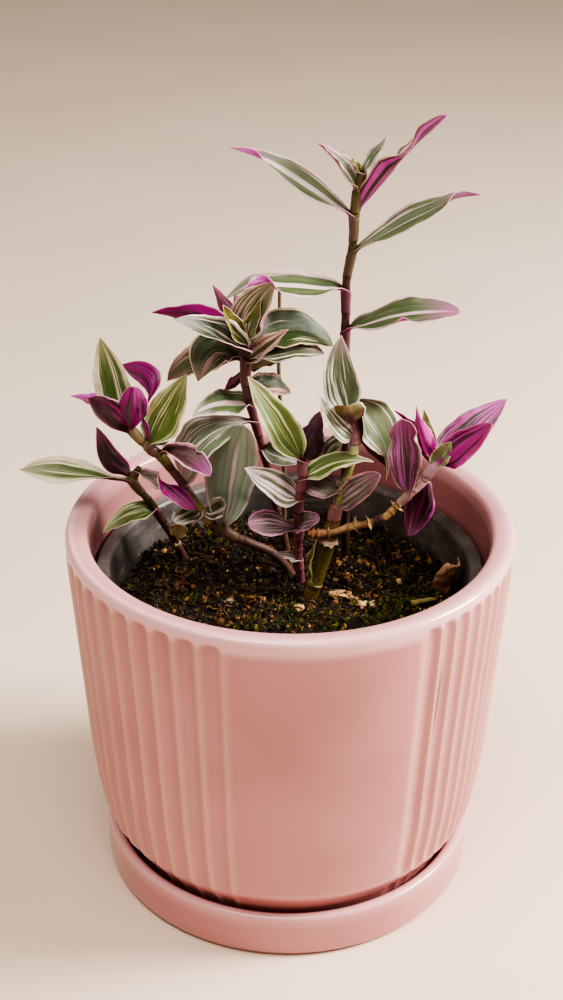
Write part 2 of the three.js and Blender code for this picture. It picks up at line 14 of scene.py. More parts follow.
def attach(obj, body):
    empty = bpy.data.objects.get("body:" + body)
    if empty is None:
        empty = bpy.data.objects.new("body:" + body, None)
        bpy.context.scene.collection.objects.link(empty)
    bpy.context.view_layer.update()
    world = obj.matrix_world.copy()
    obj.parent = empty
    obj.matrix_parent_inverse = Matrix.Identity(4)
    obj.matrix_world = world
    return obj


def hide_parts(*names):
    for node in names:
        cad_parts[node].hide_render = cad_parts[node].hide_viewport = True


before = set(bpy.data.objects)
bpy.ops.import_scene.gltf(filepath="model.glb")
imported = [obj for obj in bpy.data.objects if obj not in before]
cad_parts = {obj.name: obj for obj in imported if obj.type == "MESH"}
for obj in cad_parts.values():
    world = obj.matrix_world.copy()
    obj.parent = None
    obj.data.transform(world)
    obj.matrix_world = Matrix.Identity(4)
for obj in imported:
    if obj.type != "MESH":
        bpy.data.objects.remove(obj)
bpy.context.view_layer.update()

MM = 0.001
GOLDEN = 2.399963  # radians, the turn between seeds in a spiral

# The planter and its saucer
POT_FOOT = 4.8
POT_HEIGHT = 133.1
POT_FLOOR = 11
FOOT_RING = 46.5
FOOT_RECESS = 1.5
DRAIN_RADIUS = 6
FLUTE_COUNT = 54
FLUTE_DEPTH = 1.3
FLUTE_CUTS = (0, 0.06, 0.14, 0.25, 0.38, 0.5, 0.62, 0.75, 0.86, 0.94)
ARCH_TOP = 129.9
ARCH_SPACING = 0.45  # between rows where the flutes end in arches
# The hairline in the glaze beside a crest right of the panel: the heights of its ends in
# metres, over how far they fade, its direction at the planter's foot, how that changes in a
# metre, and its half width.
CRACK_FOOT, CRACK_TOP, CRACK_FADE = 0.082, 0.1155, 0.012
CRACK_TURN, CRACK_LEAN, CRACK_HALF = 0.6743, 0.33, 0.0085
PANEL_LEFT_DEG = -15.7
PANEL_RIGHT_DEG = 33.5
PANEL_CUTS = 26
FIRST_PITCH_DEG = 4.96
SAUCER_RADIUS = 65.7
SAUCER_HEIGHT = 17.4
SAUCER_FLOOR = 4.5

# The nursery pot and the soil in it
NURSERY_FOOT = 11.3
NURSERY_TOP = 117.6
NURSERY_RIM = 65.5
NURSERY_MOUTH = 60.6
NURSERY_FOOT_RADIUS = 47
NURSERY_WALL = 1
NURSERY_SKIRT = 7
NURSERY_HOLES = 6
NURSERY_HOLE_RADIUS = 4
NURSERY_HOLE_CIRCLE = 33
SOIL_LEVEL = 104.2
SOIL_RELIEF = 0.9
SOIL_REACH = 57  # how far out the bits on the soil lie
CRUMB_COUNT = 1700
CHIP_COUNT = 330
BRIGHT_CHIP_COUNT = 230
FLAKE_HALF = 0.12

# The stems
STEM_BURIAL = 26
STEM_COLLAR = 6  # below the soil, where a stem's own points begin
STEM_CLEARANCE = 3.4  # from a stem's middle to the bits on the soil
STEM_SIDES = 14
STEM_CUTS = 9
FRILL_HALF = 0.07

# The leaves and their sheaths
BLADE_THICKNESS = 0.5
TIP_REACH = 0.16
MARGIN_WAVE = 0.5
FOOT_FOLD = 76  # degrees, where a blade leaves its sheath
LEAF_ROWS = 34
LEAF_HALF = 9  # columns each side of the midrib
ACROSS = np.linspace(-1, 1, 2 * LEAF_HALF + 1)
SHEATH_ROWS = 7
SHEATH_TURN = 171  # degrees each way round the stem
SHEATH_FLARE = 0.14
SHEATH_ROOM = 0.07
SHEATH_STEP = 0.12  # more room for each sheath above

# The floor and the camera
FLOOR_HALF = 3  # metres
CAMERA_PLACE = (-2.88, -484.74, 402.59)
CAMERA_PITCH_DEG = 28.359
CAMERA_ROLL_DEG = 0.39
CAMERA_LENS = 59.4


def leaf(at, tip, width, top, look, **shape):
    """A leaf: its place along the stem, its tip, its width, where its upper side looks and
    the looks of its two sides. What shapes it: shoulder and point (how blunt its foot and
    tip are), breadth (share of its length and of its width), arch and bow (up and sideways
    at its middle), sway (share, spread, sideways, up), fold, roll and trough (how long its
    foot stays folded), curl (of its tip) and flaps (margins turned up)."""
    return dict(shape, at=at, tip=tip, width=width, top=top, look=look)


# Each stem: points of its middle line from the soil up, radii evenly along it, colours at
# places along it and the places of its node rings. A place is counted in points, but two
# colours run from the foot to the tip. "sleeve" is how far a leaf's sheath runs down the stem
# and "sheath" its colour where it isn't the stem's own. "frills" are the papery rims of old
# sheaths: their place, how far they stand out and run along the stem, and their colour.
PLANTS = [
    dict(name="tall_stem",
         points=[(20, 23, 104), (19, 24, 148), (18, 26, 186), (18, 26, 196), (18, 26, 209),
                 (19, 26, 216), (20, 26, 225), (20, 26, 231), (21, 26, 240), (22, 26, 245)],
         radius=(1.6, 1.2), sleeve=6.5, rings=(1.2, 1.7),
         colors=((0, (72, 50, 40)), (1.2, (74, 48, 40)), (1.8, (84, 46, 42)), (2.5, (88, 50, 48)),
                 (2.9, (96, 60, 50)), (3, (98, 56, 56)), (3.5, (94, 54, 54)), (3.7, (86, 52, 46)),
                 (4.1, (86, 52, 46)), (4.2, (92, 74, 48)), (6, (80, 66, 38)), (7, (92, 90, 42)),
                 (9, (88, 80, 40))),
         leaves=[
             leaf(6.7, (-20, 36, 250), 9, (-1, -1, 2), "sage_pinktip/bright", arch=4.5, fold=25,
                  shoulder=0.9, point=1, roll=((0, 0), (0.5, 0), (0.8, -20), (1, -30)),
                  sway=((0.75, 0.2, 0, 1.5),), flaps=((-1, 0.88, 0.12, 100, 0),)),
             leaf(7.8, (8, 28, 254), 8, (0.6, -1, 1), "sage_pinktip/olive_magenta", arch=2, fold=35,
                  roll=((0, 0), (0.5, -10), (1, -50))),
             leaf(8.9, (30, 30, 256), 5, (-1, -1, 0.5), "sage_white/mauve", fold=20),
             leaf(8.9, (18, 24, 251), 3, (1, -1, 1), "olive/mauve", fold=20),
             leaf(6.9, (47, 15, 267), 11, (-1, 0.9, 1), "sage_pinktip/olive_violet", arch=1.5,
                  fold=35, shoulder=0.55, point=0.7,
                  roll=((0, 15), (0.45, 15), (0.6, -30), (0.68, -25), (0.8, 20), (1, 30)),
                  breadth=((0, 1), (0.45, 0.95), (0.64, 0.5), (0.8, 0.9), (1, 1))),
             leaf(5.1, (62, 30, 237), 10, (-0.6, -0.6, 2), "sage_line/olive_violet", arch=3.5,
                  fold=20, shoulder=1.1, roll=((0, -10), (0.4, -20), (1, -10)),
                  breadth=((0, 1), (0.5, 1), (0.75, 0.62), (0.88, 0.85), (1, 0.6)),
                  sway=((0.8, 0.15, 0, 1.6),), flaps=((1, 0.86, 0.1, 110, 0),)),
             leaf(3.6, (-22, 17, 208), 12, (0, -0.55, 1), "sage_centre/bright", arch=3.4, fold=14,
                  curl=3, shoulder=0.7, roll=((0, 0), (1, -8)),
                  sway=((0.78, 0.13, 0, 2.6),), flaps=((-1, 0.74, 0.09, 165, 0.1),)),
             leaf(2.2, (55, 15, 203), 12, (-0.2, -0.5, 1), "sage_tip/bright", arch=4, fold=12,
                  curl=1, shoulder=0.8, point=0.6, flaps=((1, 0.57, 0.06, 70, 0.6),)),
         ]),
    dict(name="back_stem",
         points=[(-2, 34, 104), (-2, 36, 134), (-4, 40, 167), (-4, 42, 185), (-4, 43, 207)],
         radius=(0.9, 0.6), rings=(1.5, 2.5),
         colors=((0, (110, 96, 78)), (1, (128, 116, 92))),
         leaves=[]),
    dict(name="bushy_stem",
         points=[(0, 18, 104), (-2, 17, 118), (-5, 16, 131), (-8, 15, 147), (-11, 15, 159),
                 (-13, 14, 168), (-15, 14, 177), (-15, 14, 185), (-15, 14, 191)],
         radius=(1.45, 1.15), sleeve=4.5, rings=(0.6, 1.8),
         colors=((0, (100, 86, 50)), (1, (124, 68, 74))), sheath=(120, 72, 72),
         leaves=[
             leaf(7, (-37, 2, 205), 14, (0.5, -0.6, 1), "green_pale/dark_purple", arch=2.6, fold=25, curl=1,
                  trough=0.85),
             leaf(7.6, (-46, 24, 198), 14, (-0.5, 0.9, 0.5), "olive_pink/magenta_dark", arch=4.6, fold=20,
                  flaps=((1, 0.55, 0.12, -60, 0.5), (1, 0.85, 0.1, 30, 0.4))),
             leaf(7.8, (-26, 26, 207), 7, (0, 1, 0.2), "olive_pink/mauve", arch=1, fold=20),
             leaf(7.9, (-19, 30, 203), 7, (0, 1, 0.2), "olive_pink/mauve", arch=1, fold=20),
             leaf(7.9, (-22, 6, 208), 7, (0.6, -1, 0.6), "olive/magenta", arch=-1, fold=30),
             leaf(7.9, (-10, 14, 207), 6.5, (-0.6, -1, 0.6), "olive/magenta", arch=-1, fold=35),
             leaf(7.9, (-5.4, 15, 212), 15, (-0.3, -1, 0.2), "sage_pink/mauve", fold=20, bow=-2.4,
                  point=0.8, flaps=((1, 0.5, 0.34, 80, 0.7),)),
             leaf(6.8, (-1, 8, 199), 9, (-0.8, -1, 1.2), "pink_pale/mauve", arch=-0.6, fold=35),
             leaf(6.9, (-30, 4, 183), 15.5, (-0.6, -1, 1), "olive_pink/dark_purple", arch=3.4, fold=20,
                  curl=2, bow=6, shoulder=0.9),
             leaf(6.9, (-41, 16, 177), 12, (-0.6, -1, 1.2), "olive_pink/dark_purple", arch=3.4, fold=15,
                  bow=3.4, shoulder=0.9),
             leaf(5, (-32, 4, 170.5), 11.5, (0, -0.45, 1), "sage_band/magenta", arch=1.4, fold=12,
                  curl=1, bow=1.8),
             leaf(4.3, (-36, 9, 143.5), 19.5, (-0.5, -0.5, 0.75), "sage_bright/magenta", arch=10,
                  fold=10, shoulder=1.1, point=0.55),
             leaf(6.3, (-22.6, 20, 171), 4.5, (0, 1, 0.2), "olive_pink/mauve", arch=1, fold=20),
             leaf(3.4, (3, 14, 148), 9, (-0.3, -1, 0.8), "sage_white/mauve", arch=3, fold=20),
             leaf(7.6, (14, 30, 184), 15, (0.2, -0.8, 1), "dark_green/mauve", arch=4, fold=15, bow=-5,
                  point=0.7),
             leaf(6.9, (11, 26, 183), 11, (0, -0.5, 1), "mostly_white/olive_pink", arch=4.2, fold=10,
                  point=0.6),
             leaf(6.5, (-3, 26, 180), 8, (-0.4, 1, 0.4), "olive/olive", fold=20, bow=1.5),
             leaf(5.9, (0, 22, 170), 9, (0, -0.8, 1), "olive_pink/mauve", arch=3, fold=15),
         ]),
    dict(name="creeping_stem",
         points=[(1, 13, 104), (-5, 10, 114), (-15, 7, 121), (-20, 6, 124), (-28, 5, 131),
                 (-34, 5, 141), (-40, 5, 150), (-43, 4, 155), (-47, 4, 158), (-52, 4, 164),
                 (-57, 5, 170)],
         radius=(1.65, 1.25), sleeve=4, rings=(1.2, 2.1, 5.2, 6.1),
         colors=((0, (112, 80, 66)), (2.2, (120, 88, 78)), (2.8, (142, 116, 86)),
                 (3.9, (140, 122, 84)), (4, (178, 172, 106)), (4.6, (176, 168, 104)),
                 (5, (126, 90, 84)), (6.3, (132, 96, 96)), (6.9, (110, 116, 56)),
                 (7.4, (104, 106, 52)), (7.6, (116, 88, 68)), (8.2, (138, 112, 82)),
                 (9, (142, 130, 82)), (10, (150, 146, 86))),
         leaves=[
             leaf(9.7, (-62, 10, 195), 13, (-0.1, -1, 0.1), "cream_edge/magenta", arch=-1, fold=18),
             leaf(8.9, (-66, 4, 176), 17, (0.3, 1, 0.6), "cream_edge/cup", arch=-3, fold=32,
                  point=0.5, shoulder=0.6),
             leaf(9, (-50.5, -2, 183), 13, (-0.1, 1, 0.3), "cream_edge/magenta", arch=-3, fold=42,
                  point=0.5),
             leaf(9.7, (-73, 12, 173), 7, (-0.2, 1, 0.4), "cream_edge/bright", arch=2, fold=20,
                  breadth=((0, 0.5), (0.5, 1), (1, 1)), flaps=((-1, 0.75, 0.1, 50, 0.3),)),
             leaf(7.9, (-34, 8, 183), 14.5, (-0.5, -1, 0.3), "fresh/magenta", arch=-1, fold=20),
             leaf(8.1, (-56.5, 22, 180), 9, (0.4, 0.9, -0.2), "cream_edge/magenta_dark", arch=-5, fold=15,
                  bow=-8.5, shoulder=2.2,
                  sway=((0.62, 0.2, -3.6, 0), (0.8, 0.12, -1, 0), (0.28, 0.14, 2.5, 0)),
                  breadth=((0, 0.2), (0.42, 0.25), (0.56, 0.85), (0.7, 0.95), (1, 0.9))),
             leaf(7.8, (-38, 14, 163), 6, (0, -1, 1), "sage_white/magenta", arch=1, fold=15),
             leaf(7, (-26, -8, 154), 9.5, (0.2, -0.45, 1), "mauve_upper/brown_purple", arch=4.5, fold=14,
                  trough=0.6, shoulder=0.8, point=0.6, flaps=((-1, 0.66, 0.05, 120, 0.7),)),
             leaf(3.2, (-15.6, 4, 167), 17.5, (-0.1, -1, 0.15), "sage/magenta", fold=12, shoulder=0.7,
                  point=0.5, bow=-1.6),
             leaf(4.3, (-38.8, -4, 134.6), 7, (0, -0.7, 1), "mostly_white/magenta", arch=0.5, fold=14,
                  point=0.4, shoulder=0.4, trough=0.16),
             leaf(4.2, (-21.4, -3, 141), 7.5, (-0.5, -0.8, 0.5), "mostly_white/magenta", arch=-1.4, fold=14,
                  point=0.45, trough=0.2),
         ]),
    dict(name="low_stem",
         points=[(-37, 24, 103), (-41, 20, 115), (-45, 18, 124), (-48, 16, 131), (-53, 14, 139),
                 (-53, 14, 143), (-51, 13, 146)],
         radius=(1.5, 1.15), sleeve=4, rings=(1.6, 3.2),
         colors=((0, (112, 72, 64)), (1.6, (104, 68, 58)), (2.4, (98, 78, 48)), (3.2, (88, 72, 44)),
                 (4.5, (110, 100, 56)), (6, (116, 100, 58))),
         leaves=[
             leaf(4, (-91, 8, 148), 11, (0.1, -0.6, 1), "cream_edge/brown_purple", arch=2, fold=15, curl=1,
                  shoulder=1.9, point=1.1, trough=0.6,
                  roll=((0, -25), (0.45, -15), (0.65, 8), (1, 0))),
             leaf(4.4, (-65, 16, 160), 8, (-0.3, 1, 0.1), "cream_edge/dark_mauve", fold=20,
                  sway=((0.5, 0.38, 2.7, 0),)),
             leaf(5, (-31.5, -5, 140), 8, (0.3, -0.6, 1), "pink_upper/magenta_dark", arch=4, fold=20,
                  shoulder=0.8, point=0.5, roll=((0, 0), (0.35, -5), (0.58, -170), (1, -185)),
                  breadth=((0, 1), (0.42, 0.8), (0.52, 0.7), (0.7, 1), (1, 1))),
             leaf(2.3, (-64, 4, 126), 9, (-0.2, -0.6, 1), "green_low/magenta", arch=3.6, fold=15, curl=1,
                  trough=0.45),
             # A small leaf in shade, coloured much lighter on both sides: painted light
             leaf(0.7, (-38.4, 16, 122.6), 7, (0, -1, 0.2), "olive_bright/olive_bright", fold=15, point=0.3,
                  shoulder=1.5, sleeve=2),
         ]),
    dict(name="front_stem",
         points=[(4, 8, 105), (3, 5, 117), (3, 3, 129), (3, 1, 140), (4, 0, 149), (4, 0, 155)],
         radius=(1.6, 1.35), sleeve=4, rings=(1.2, 2.6),
         colors=((0, (148, 88, 98)), (1, (158, 104, 110))), sheath=(160, 104, 112),
         leaves=[
             leaf(4.9, (-14, 2, 185), 12, (0.4, -1, 0.4), "fresh/dark_purple", arch=1, fold=15),
             leaf(4.9, (9.6, 6, 171), 12.4, (-0.3, 1, 0.1), "sage_white/dark_purple", fold=16, bow=-0.4,
                  trough=0.2, breadth=((0, 1), (0.5, 1), (0.7, 0.76), (1, 0.9))),
             leaf(3.9, (27, -6, 158.5), 8, (0, -0.5, 1), "fresh_edge/magenta", arch=1.4, fold=10, bow=-2.6,
                  trough=0.2, roll=((0, -25), (0.4, -12), (0.7, 12), (1, 25))),
             leaf(3, (-15, -8, 157), 11, (0.6, -1, 0.8), "pink_white/mauve", fold=12, trough=0.2),
             leaf(1.9, (-14, -8, 136), 10, (0, -0.8, 1), "pink_grey/magenta", arch=2, fold=12,
                  point=0.45, trough=0.2,
                  breadth=((0, 0.45), (0.36, 0.5), (0.5, 0.9), (0.7, 1.1), (1, 1.1))),
             leaf(1.9, (10, -4, 136), 7.5, (0, -0.8, 1), "pink_grey/magenta", arch=2, fold=12, point=0.5),
             leaf(0.8, (-5, 2, 119), 4, (0, -0.8, 1), "pink_white/mauve", arch=1, fold=15),
         ]),
    dict(name="thick_stem",
         points=[(7, -2, 104), (11, -2, 118), (14, -3, 131), (15, -3, 138), (17, -3, 145),
                 (19, -2, 152), (21, 0, 159), (21, 1, 165), (20, 2, 170),
                 (19.5, 5, 177)],
         radius=(2.65, 2.6, 2.5, 2.35, 2.1, 1.4, 1.3, 1.3, 1.3, 1.2, 1),
         sleeve=4.5, rings=(2.1, 4.6),
         colors=((0, (118, 98, 54)), (0.8, (114, 104, 54)), (1.6, (108, 102, 54)),
                 (1.75, (170, 156, 116)), (1.9, (120, 112, 58)), (2.5, (132, 112, 72)),
                 (2.8, (150, 100, 100)), (3.3, (158, 108, 108)), (3.45, (150, 148, 84)),
                 (5.2, (150, 152, 86)), (5.6, (196, 186, 140)), (6.5, (196, 188, 140)),
                 (6.64, (176, 118, 134)), (8, (168, 104, 124))),
         frills=((1.75, 1.3, -1.6, (206, 176, 152)), (3.3, 0.7, 1.2, (190, 176, 120))),
         leaves=[
             leaf(3.3, (29, -12, 157), 9.6, (-0.5, -1, 0.8), "grey_pink/mauve", arch=1, fold=12, trough=0.2,
                  point=0.6),
             leaf(4, (6, 4, 146), 10, (0.4, -1, 0.5), "grey_pink/mauve", arch=2, fold=20, point=0.5,
                  shoulder=0.6),
             leaf(8, (16, 8, 197), 12.5, (0, -1, 0.15), "sage_white/olive_magenta", fold=18, shoulder=0.55,
                  bow=-2),
             leaf(7.8, (18, -6, 178.6), 12, (0, 1, 0.3), "sage_white/cup_olive", arch=-2, fold=28,
                  point=0.22, trough=0.1),
             leaf(6.6, (9, -6, 182), 7, (0.5, -1, 0.5), "mostly_white/olive_magenta", fold=16, bow=-1.6,
                  trough=0.2),
             leaf(8.7, (32, 6, 145), 16.5, (0.6, -1, 0.8), "sage_dry/dark_purple", arch=3, fold=12,
                  bow=-4, shoulder=0.6, point=1.3,
                  breadth=((0, 1), (0.5, 1), (0.62, 0.8), (0.74, 0.26), (1, 0.6))),
             # Enlarged so its underside fills the deep shade behind the stem: a leaf's brown with painted
             # shade
             leaf(8, (33, 12, 147), 13, (0.3, 1, 0.5), "olive_pink/shade_brown", arch=3, fold=12,
                  bow=-1, shoulder=0.6),
             leaf(7.2, (12, 14, 149), 6, (-0.5, -1, 0.6), "mostly_white/mauve", arch=4, fold=15),
             leaf(0.4, (9.5, -6, 130), 3.5, (-1, -0.5, 0.2), "olive/olive", arch=2, fold=30,
                  sleeve=0.6),
         ]),
    dict(name="thick_stem_branch",
         points=[(6, -5, 131), (11, -5, 131), (16, -5, 132), (21, -5, 134), (26, -5, 135),
                 (32, -5, 138), (36, -4, 142), (40, -4, 146), (43, -3, 149), (46, -2, 153),
                 (48, -1, 156)],
         radius=(1.3, 1.15), sleeve=3.5, rings=(0.55, 1, 1.45, 2.7, 4.65, 5.35, 6.4, 7.75),
         colors=((0, (150, 100, 62)), (1.1, (192, 148, 102)), (1.4, (124, 86, 62)),
                 (2.4, (202, 160, 112)), (3, (224, 188, 138)), (3.3, (192, 152, 108)),
                 (4.2, (206, 168, 118)), (4.3, (112, 80, 76)), (4.8, (118, 86, 82)),
                 (4.9, (218, 184, 120)), (5.6, (192, 160, 100)), (5.9, (146, 126, 98)),
                 (6.3, (166, 138, 118)), (6.6, (206, 166, 160)), (10, (200, 154, 164))),
         frills=((0.25, 1.1, 0.8, (186, 142, 98)), (0.8, 0.9, -0.8, (160, 116, 78)),
                 (1.35, 1.2, 0.7, (190, 150, 106)), (3.05, 1.3, 0.9, (226, 190, 144)),
                 (4.15, 1.1, -0.8, (206, 170, 122)), (5.7, 1.3, 0.7, (214, 174, 132)),
                 (8.3, 0.6, 0.6, (214, 180, 160))),
         leaves=[
             leaf(6.6, (35, -12, 177), 11.8, (0, -1, 0.3), "grey_purple/magenta", fold=16, point=0.45,
                  trough=0.16, shoulder=0.8,
                  breadth=((0, 1), (0.62, 1), (0.75, 0.66), (0.85, 0.98), (1, 1))),
             leaf(9.3, (41, 4, 174), 10, (0.5, 1, 0.1), "magenta_green/two_tone", fold=45, point=1.3,
                  bow=1.4),
             leaf(9.6, (44, 10, 170), 5, (0, -1, 0.3), "olive/magenta", fold=20),
             leaf(9.6, (34, 16, 167), 5, (0, 1, 0.5), "sage_white/magenta", arch=3, fold=20),
             leaf(9.8, (71, 8, 175), 12.5, (-0.4, -1, 0.6), "magenta_green/bright", arch=2, fold=12,
                  trough=0.2),
             leaf(9.4, (64, -10, 174.5), 10.5, (0.4, 1, -0.1), "magenta_green/magenta_bright", fold=20,
                  point=0.8, trough=0.2, flaps=((-1, 0.3, 0.16, -50, 0.4), (1, 0.62, 0.14, -40, 0.5))),
             leaf(9.5, (52, -4, 165), 6.4, (-0.2, -1, 0.3), "green_cream/olive_magenta", fold=20, point=0.7,
                  trough=0.2),
             leaf(8.1, (40, 0, 127), 11.5, (0.6, 1, 0.6), "olive/dark_magenta", arch=3,
                  fold=20, point=0.7, flaps=((1, 0.3, 0.14, 80, 0.5),)),
         ]),
]

# A side's look: ground, stripe, edge and tip colours, then the share that is striped, the
# width of a pale band beside the midrib and of a pale band along the edges.
LOOKS = {
    "sage_white": ((102, 118, 84), (226, 215, 208), (230, 214, 204), (224, 200, 204), 0.38, 0, 0.12),
    "sage_pinktip": ((112, 127, 94), (226, 206, 206), (226, 204, 202), (220, 116, 206), 0.4, 0.14, 0.1),
    "sage_centre": ((88, 106, 62), (230, 208, 208), (224, 190, 194), (206, 204, 186), 0.14, 0.16, 0.18),
    "sage_bright": ((130, 148, 116), (232, 224, 216), (230, 214, 204), (222, 208, 206), 0.5, 0, 0.12),
    "sage": ((164, 184, 160), (224, 212, 204), (226, 210, 202), (150, 156, 134), 0.14, 0.07, 0.08),
    "fresh": ((102, 122, 56), (206, 208, 158), (226, 222, 186), (206, 204, 160), 0.32, 0, 0.18),
    # Olive made much lighter to stand in for light on a shaded leaf: painted light
    "olive_bright": ((222, 230, 172), (236, 234, 190), (222, 206, 166), (180, 176, 118), 0.18, 0.05, 0.08),
    "olive": ((118, 120, 54), (168, 160, 92), (216, 196, 158), (150, 140, 74), 0.18, 0.05, 0.08),
    "olive_pink": ((62, 80, 42), (208, 162, 160), (206, 188, 152), (150, 116, 106), 0.32, 0, 0.06),
    "sage_pink": ((104, 114, 76), (214, 182, 170), (214, 188, 168), (186, 156, 146), 0.34, 0, 0.1),
    "sage_tip": ((92, 112, 70), (230, 208, 208), (224, 190, 194), (212, 96, 180), 0.2, 0.12, 0.14),
    "sage_line": ((106, 126, 86), (228, 208, 208), (226, 202, 202), (222, 140, 202), 0.2, 0.05, 0.12),
    "dark_green": ((46, 72, 16), (206, 196, 160), (184, 170, 140), (92, 110, 50), 0.14, 0, 0.08),
    "cream_edge": ((94, 118, 58), (232, 224, 194), (230, 220, 192), (216, 210, 176), 0.35, 0, 0.36),
    "mostly_white": ((88, 100, 64), (226, 216, 204), (230, 212, 202), (220, 204, 194), 0.42, 0, 0.12),
    "pink_white": ((100, 112, 82), (230, 204, 206), (230, 204, 200), (226, 192, 200), 0.54, 0, 0.16),
    "pink_grey": ((90, 88, 72), (198, 142, 172), (206, 130, 166), (190, 126, 164), 0.38, 0.05, 0.12),
    "grey_purple": ((112, 86, 86), (202, 116, 192), (190, 182, 150), (192, 86, 170), 0.42, 0, 0.1),
    "magenta_green": ((86, 94, 72), (200, 98, 178), (160, 104, 130), (204, 92, 180), 0.5, 0, 0.1),
    "dark_magenta": ((58, 44, 36), (150, 48, 122), (184, 78, 150), (196, 110, 160), 0.3, 0, 0.14),
    "magenta": ((60, 10, 36), (158, 20, 120), (228, 192, 194), (184, 40, 146), 0.54, 0, 0),
    "bright": ((186, 74, 172), (220, 104, 202), (228, 160, 208), (222, 124, 210), 0.55, 0, 0),
    "olive_violet": ((70, 50, 30), (204, 84, 182), (206, 176, 134), (218, 114, 198), 0.32, 0, 0),
    "green_pale": ((56, 74, 38), (226, 210, 204), (232, 214, 206), (222, 208, 200), 0.28, 0, 0.1),
    "sage_band": ((98, 118, 74), (228, 206, 202), (214, 216, 190), (226, 208, 200), 0.16, 0.2, 0.1),
    "pink_pale": ((96, 94, 66), (224, 196, 184), (226, 204, 190), (228, 198, 188), 0.58, 0, 0.2),
    "fresh_edge": ((104, 128, 62), (226, 224, 182), (226, 214, 180), (226, 214, 188), 0.36, 0.1, 0.2),
    "grey_pink": ((100, 96, 78), (178, 148, 152), (200, 134, 152), (172, 118, 142), 0.32, 0, 0.12),
    "cup_olive": ((96, 88, 34), (104, 48, 72), (232, 220, 186), (150, 136, 96), 0.3, 0.24, 0),
    "sage_dry": ((108, 122, 86), (226, 215, 208), (226, 208, 196), (190, 150, 106), 0.16, 0, 0.1),
    "two_tone": ((116, 28, 66), (214, 58, 164), (220, 130, 190), (222, 84, 182), 0.48, 0, 0.2),
    "magenta_bright": ((100, 50, 78), (190, 70, 160), (208, 132, 182), (196, 68, 160), 0.56, 0, 0.1),
    "green_cream": ((138, 144, 100), (196, 190, 150), (226, 216, 190), (214, 206, 170), 0.2, 0, 0.1),
    "cup": ((46, 10, 18), (156, 26, 108), (222, 150, 180), (116, 20, 74), 0.3, 0, 0.05),
    "mauve_upper": ((82, 46, 48), (192, 128, 152), (232, 206, 196), (188, 56, 168), 0.14, 0, 0.14),
    "green_low": ((84, 100, 50), (190, 194, 142), (216, 208, 162), (190, 190, 140), 0.3, 0, 0.12),
    "magenta_dark": ((60, 14, 34), (176, 26, 140), (222, 214, 190), (168, 30, 128), 0.5, 0, 0.34),
    "dark_mauve": ((62, 44, 42), (150, 60, 110), (214, 130, 170), (170, 90, 130), 0.3, 0, 0.22),
    "pink_upper": ((92, 100, 78), (224, 182, 186), (232, 206, 196), (210, 130, 176), 0.4, 0, 0.3),
    "mauve": ((92, 54, 66), (180, 112, 142), (204, 160, 160), (176, 96, 140), 0.5, 0, 0.1),
    "dark_purple": ((56, 26, 42), (104, 40, 84), (222, 180, 190), (96, 40, 72), 0.32, 0, 0),
    "olive_magenta": ((84, 70, 36), (188, 62, 146), (152, 140, 72), (216, 112, 180), 0.36, 0, 0.05),
    # A leaf underside's brown, taken from the deep shade behind the stems: painted shade
    "shade_brown": ((112, 74, 60), (128, 88, 76), (168, 128, 112), (112, 76, 64), 0.3, 0, 0),
    "brown_purple": ((106, 58, 60), (150, 84, 92), (192, 132, 140), (200, 84, 166), 0.3, 0, 0.06),
}

# Where moss grows: a patch's middle, its radius and how many shoots it has.
MOSS_PATCHES = [(38, -8, 9, 90), (30, -14, 7, 60), (46, 2, 6, 40), (2, -16, 9, 46),
                (-14, -26, 9, 40), (-34, -6, 7, 26), (18, -22, 9, 44), (22, 26, 5, 20),
                (38, 14, 8, 30), (-2, -5, 4, 14), (-44, 10, 6, 18), (0, 44, 12, 40),
                (-30, 36, 9, 30), (34, 38, 9, 30)]

# Where small brown bits lie thick: a patch's middle, its radius and how many there are.
BIT_PATCHES = [(36, 22, 12, 90), (18, 16, 9, 50), (46, 10, 8, 40), (-26, -6, 10, 40),
               (-40, 14, 9, 36), (-16, -20, 9, 36), (8, -20, 9, 30), (30, -2, 8, 24)]

# Torn bits that stand out: place, size, turn and colour.
TAN, BARK = (216, 180, 134), (104, 74, 54)
TORN_BITS = [(3.3, -10.7, 4.2, 1.9, TAN), (16.2, -4.6, 5.6, 2.7, TAN), (20.6, -3.8, 3, 0.9, TAN),
             (24.4, -10.6, 5.2, 0.2, TAN), (28, -9.6, 2.4, 1.2, TAN), (38, 4, 2, 0.8, TAN),
             (-13, -8.6, 4, 2.6, (134, 94, 56)), (-9, -6.4, 2.6, 0.4, (164, 122, 72)),
             (-30, 21, 6.4, 0.5, BARK), (-44, 6, 5, 1.2, BARK), (-38, 2, 5.4, 2.2, BARK),
             (-21, -9, 3.4, 0.9, (170, 158, 138)), (-24, 26, 3.6, 2.1, (122, 88, 46)),
             (20, 10, 3, 0.3, (170, 130, 84)), (9, 12, 4, 1.4, (140, 100, 60))]

# The larger things on the soil
DEAD_LEAF_FOOT = (54.6, 1.6)
DEAD_LEAF_TURN = (0.3, -0.1, 0.75)
DEAD_LEAF_HALF = 0.16
STICK_LINE = [(41.3, -9.6, 106.6), (43.2, -9.3, 106.9), (45.6, -8.4, 107), (48, -7.6, 107),
              (50, -7, 106.8)]
STICK_RADII = [1.3, 1, 0.9, 0.85, 0.6]
PALE_LUMP = (-51, 38, 106.4)


def tone(red, green, blue):
    """An sRGB colour from 0 to 255, as linear values with alpha."""
    shares = [c / 255 for c in (red, green, blue)]
    return (*(c / 12.92 if c <= 0.04045 else ((c + 0.055) / 1.055) ** 2.4 for c in shares), 1)


def smoothstep(low, high, value):
    share = np.clip((value - low) / (high - low), 0, 1)
    return share * share * (3 - 2 * share)


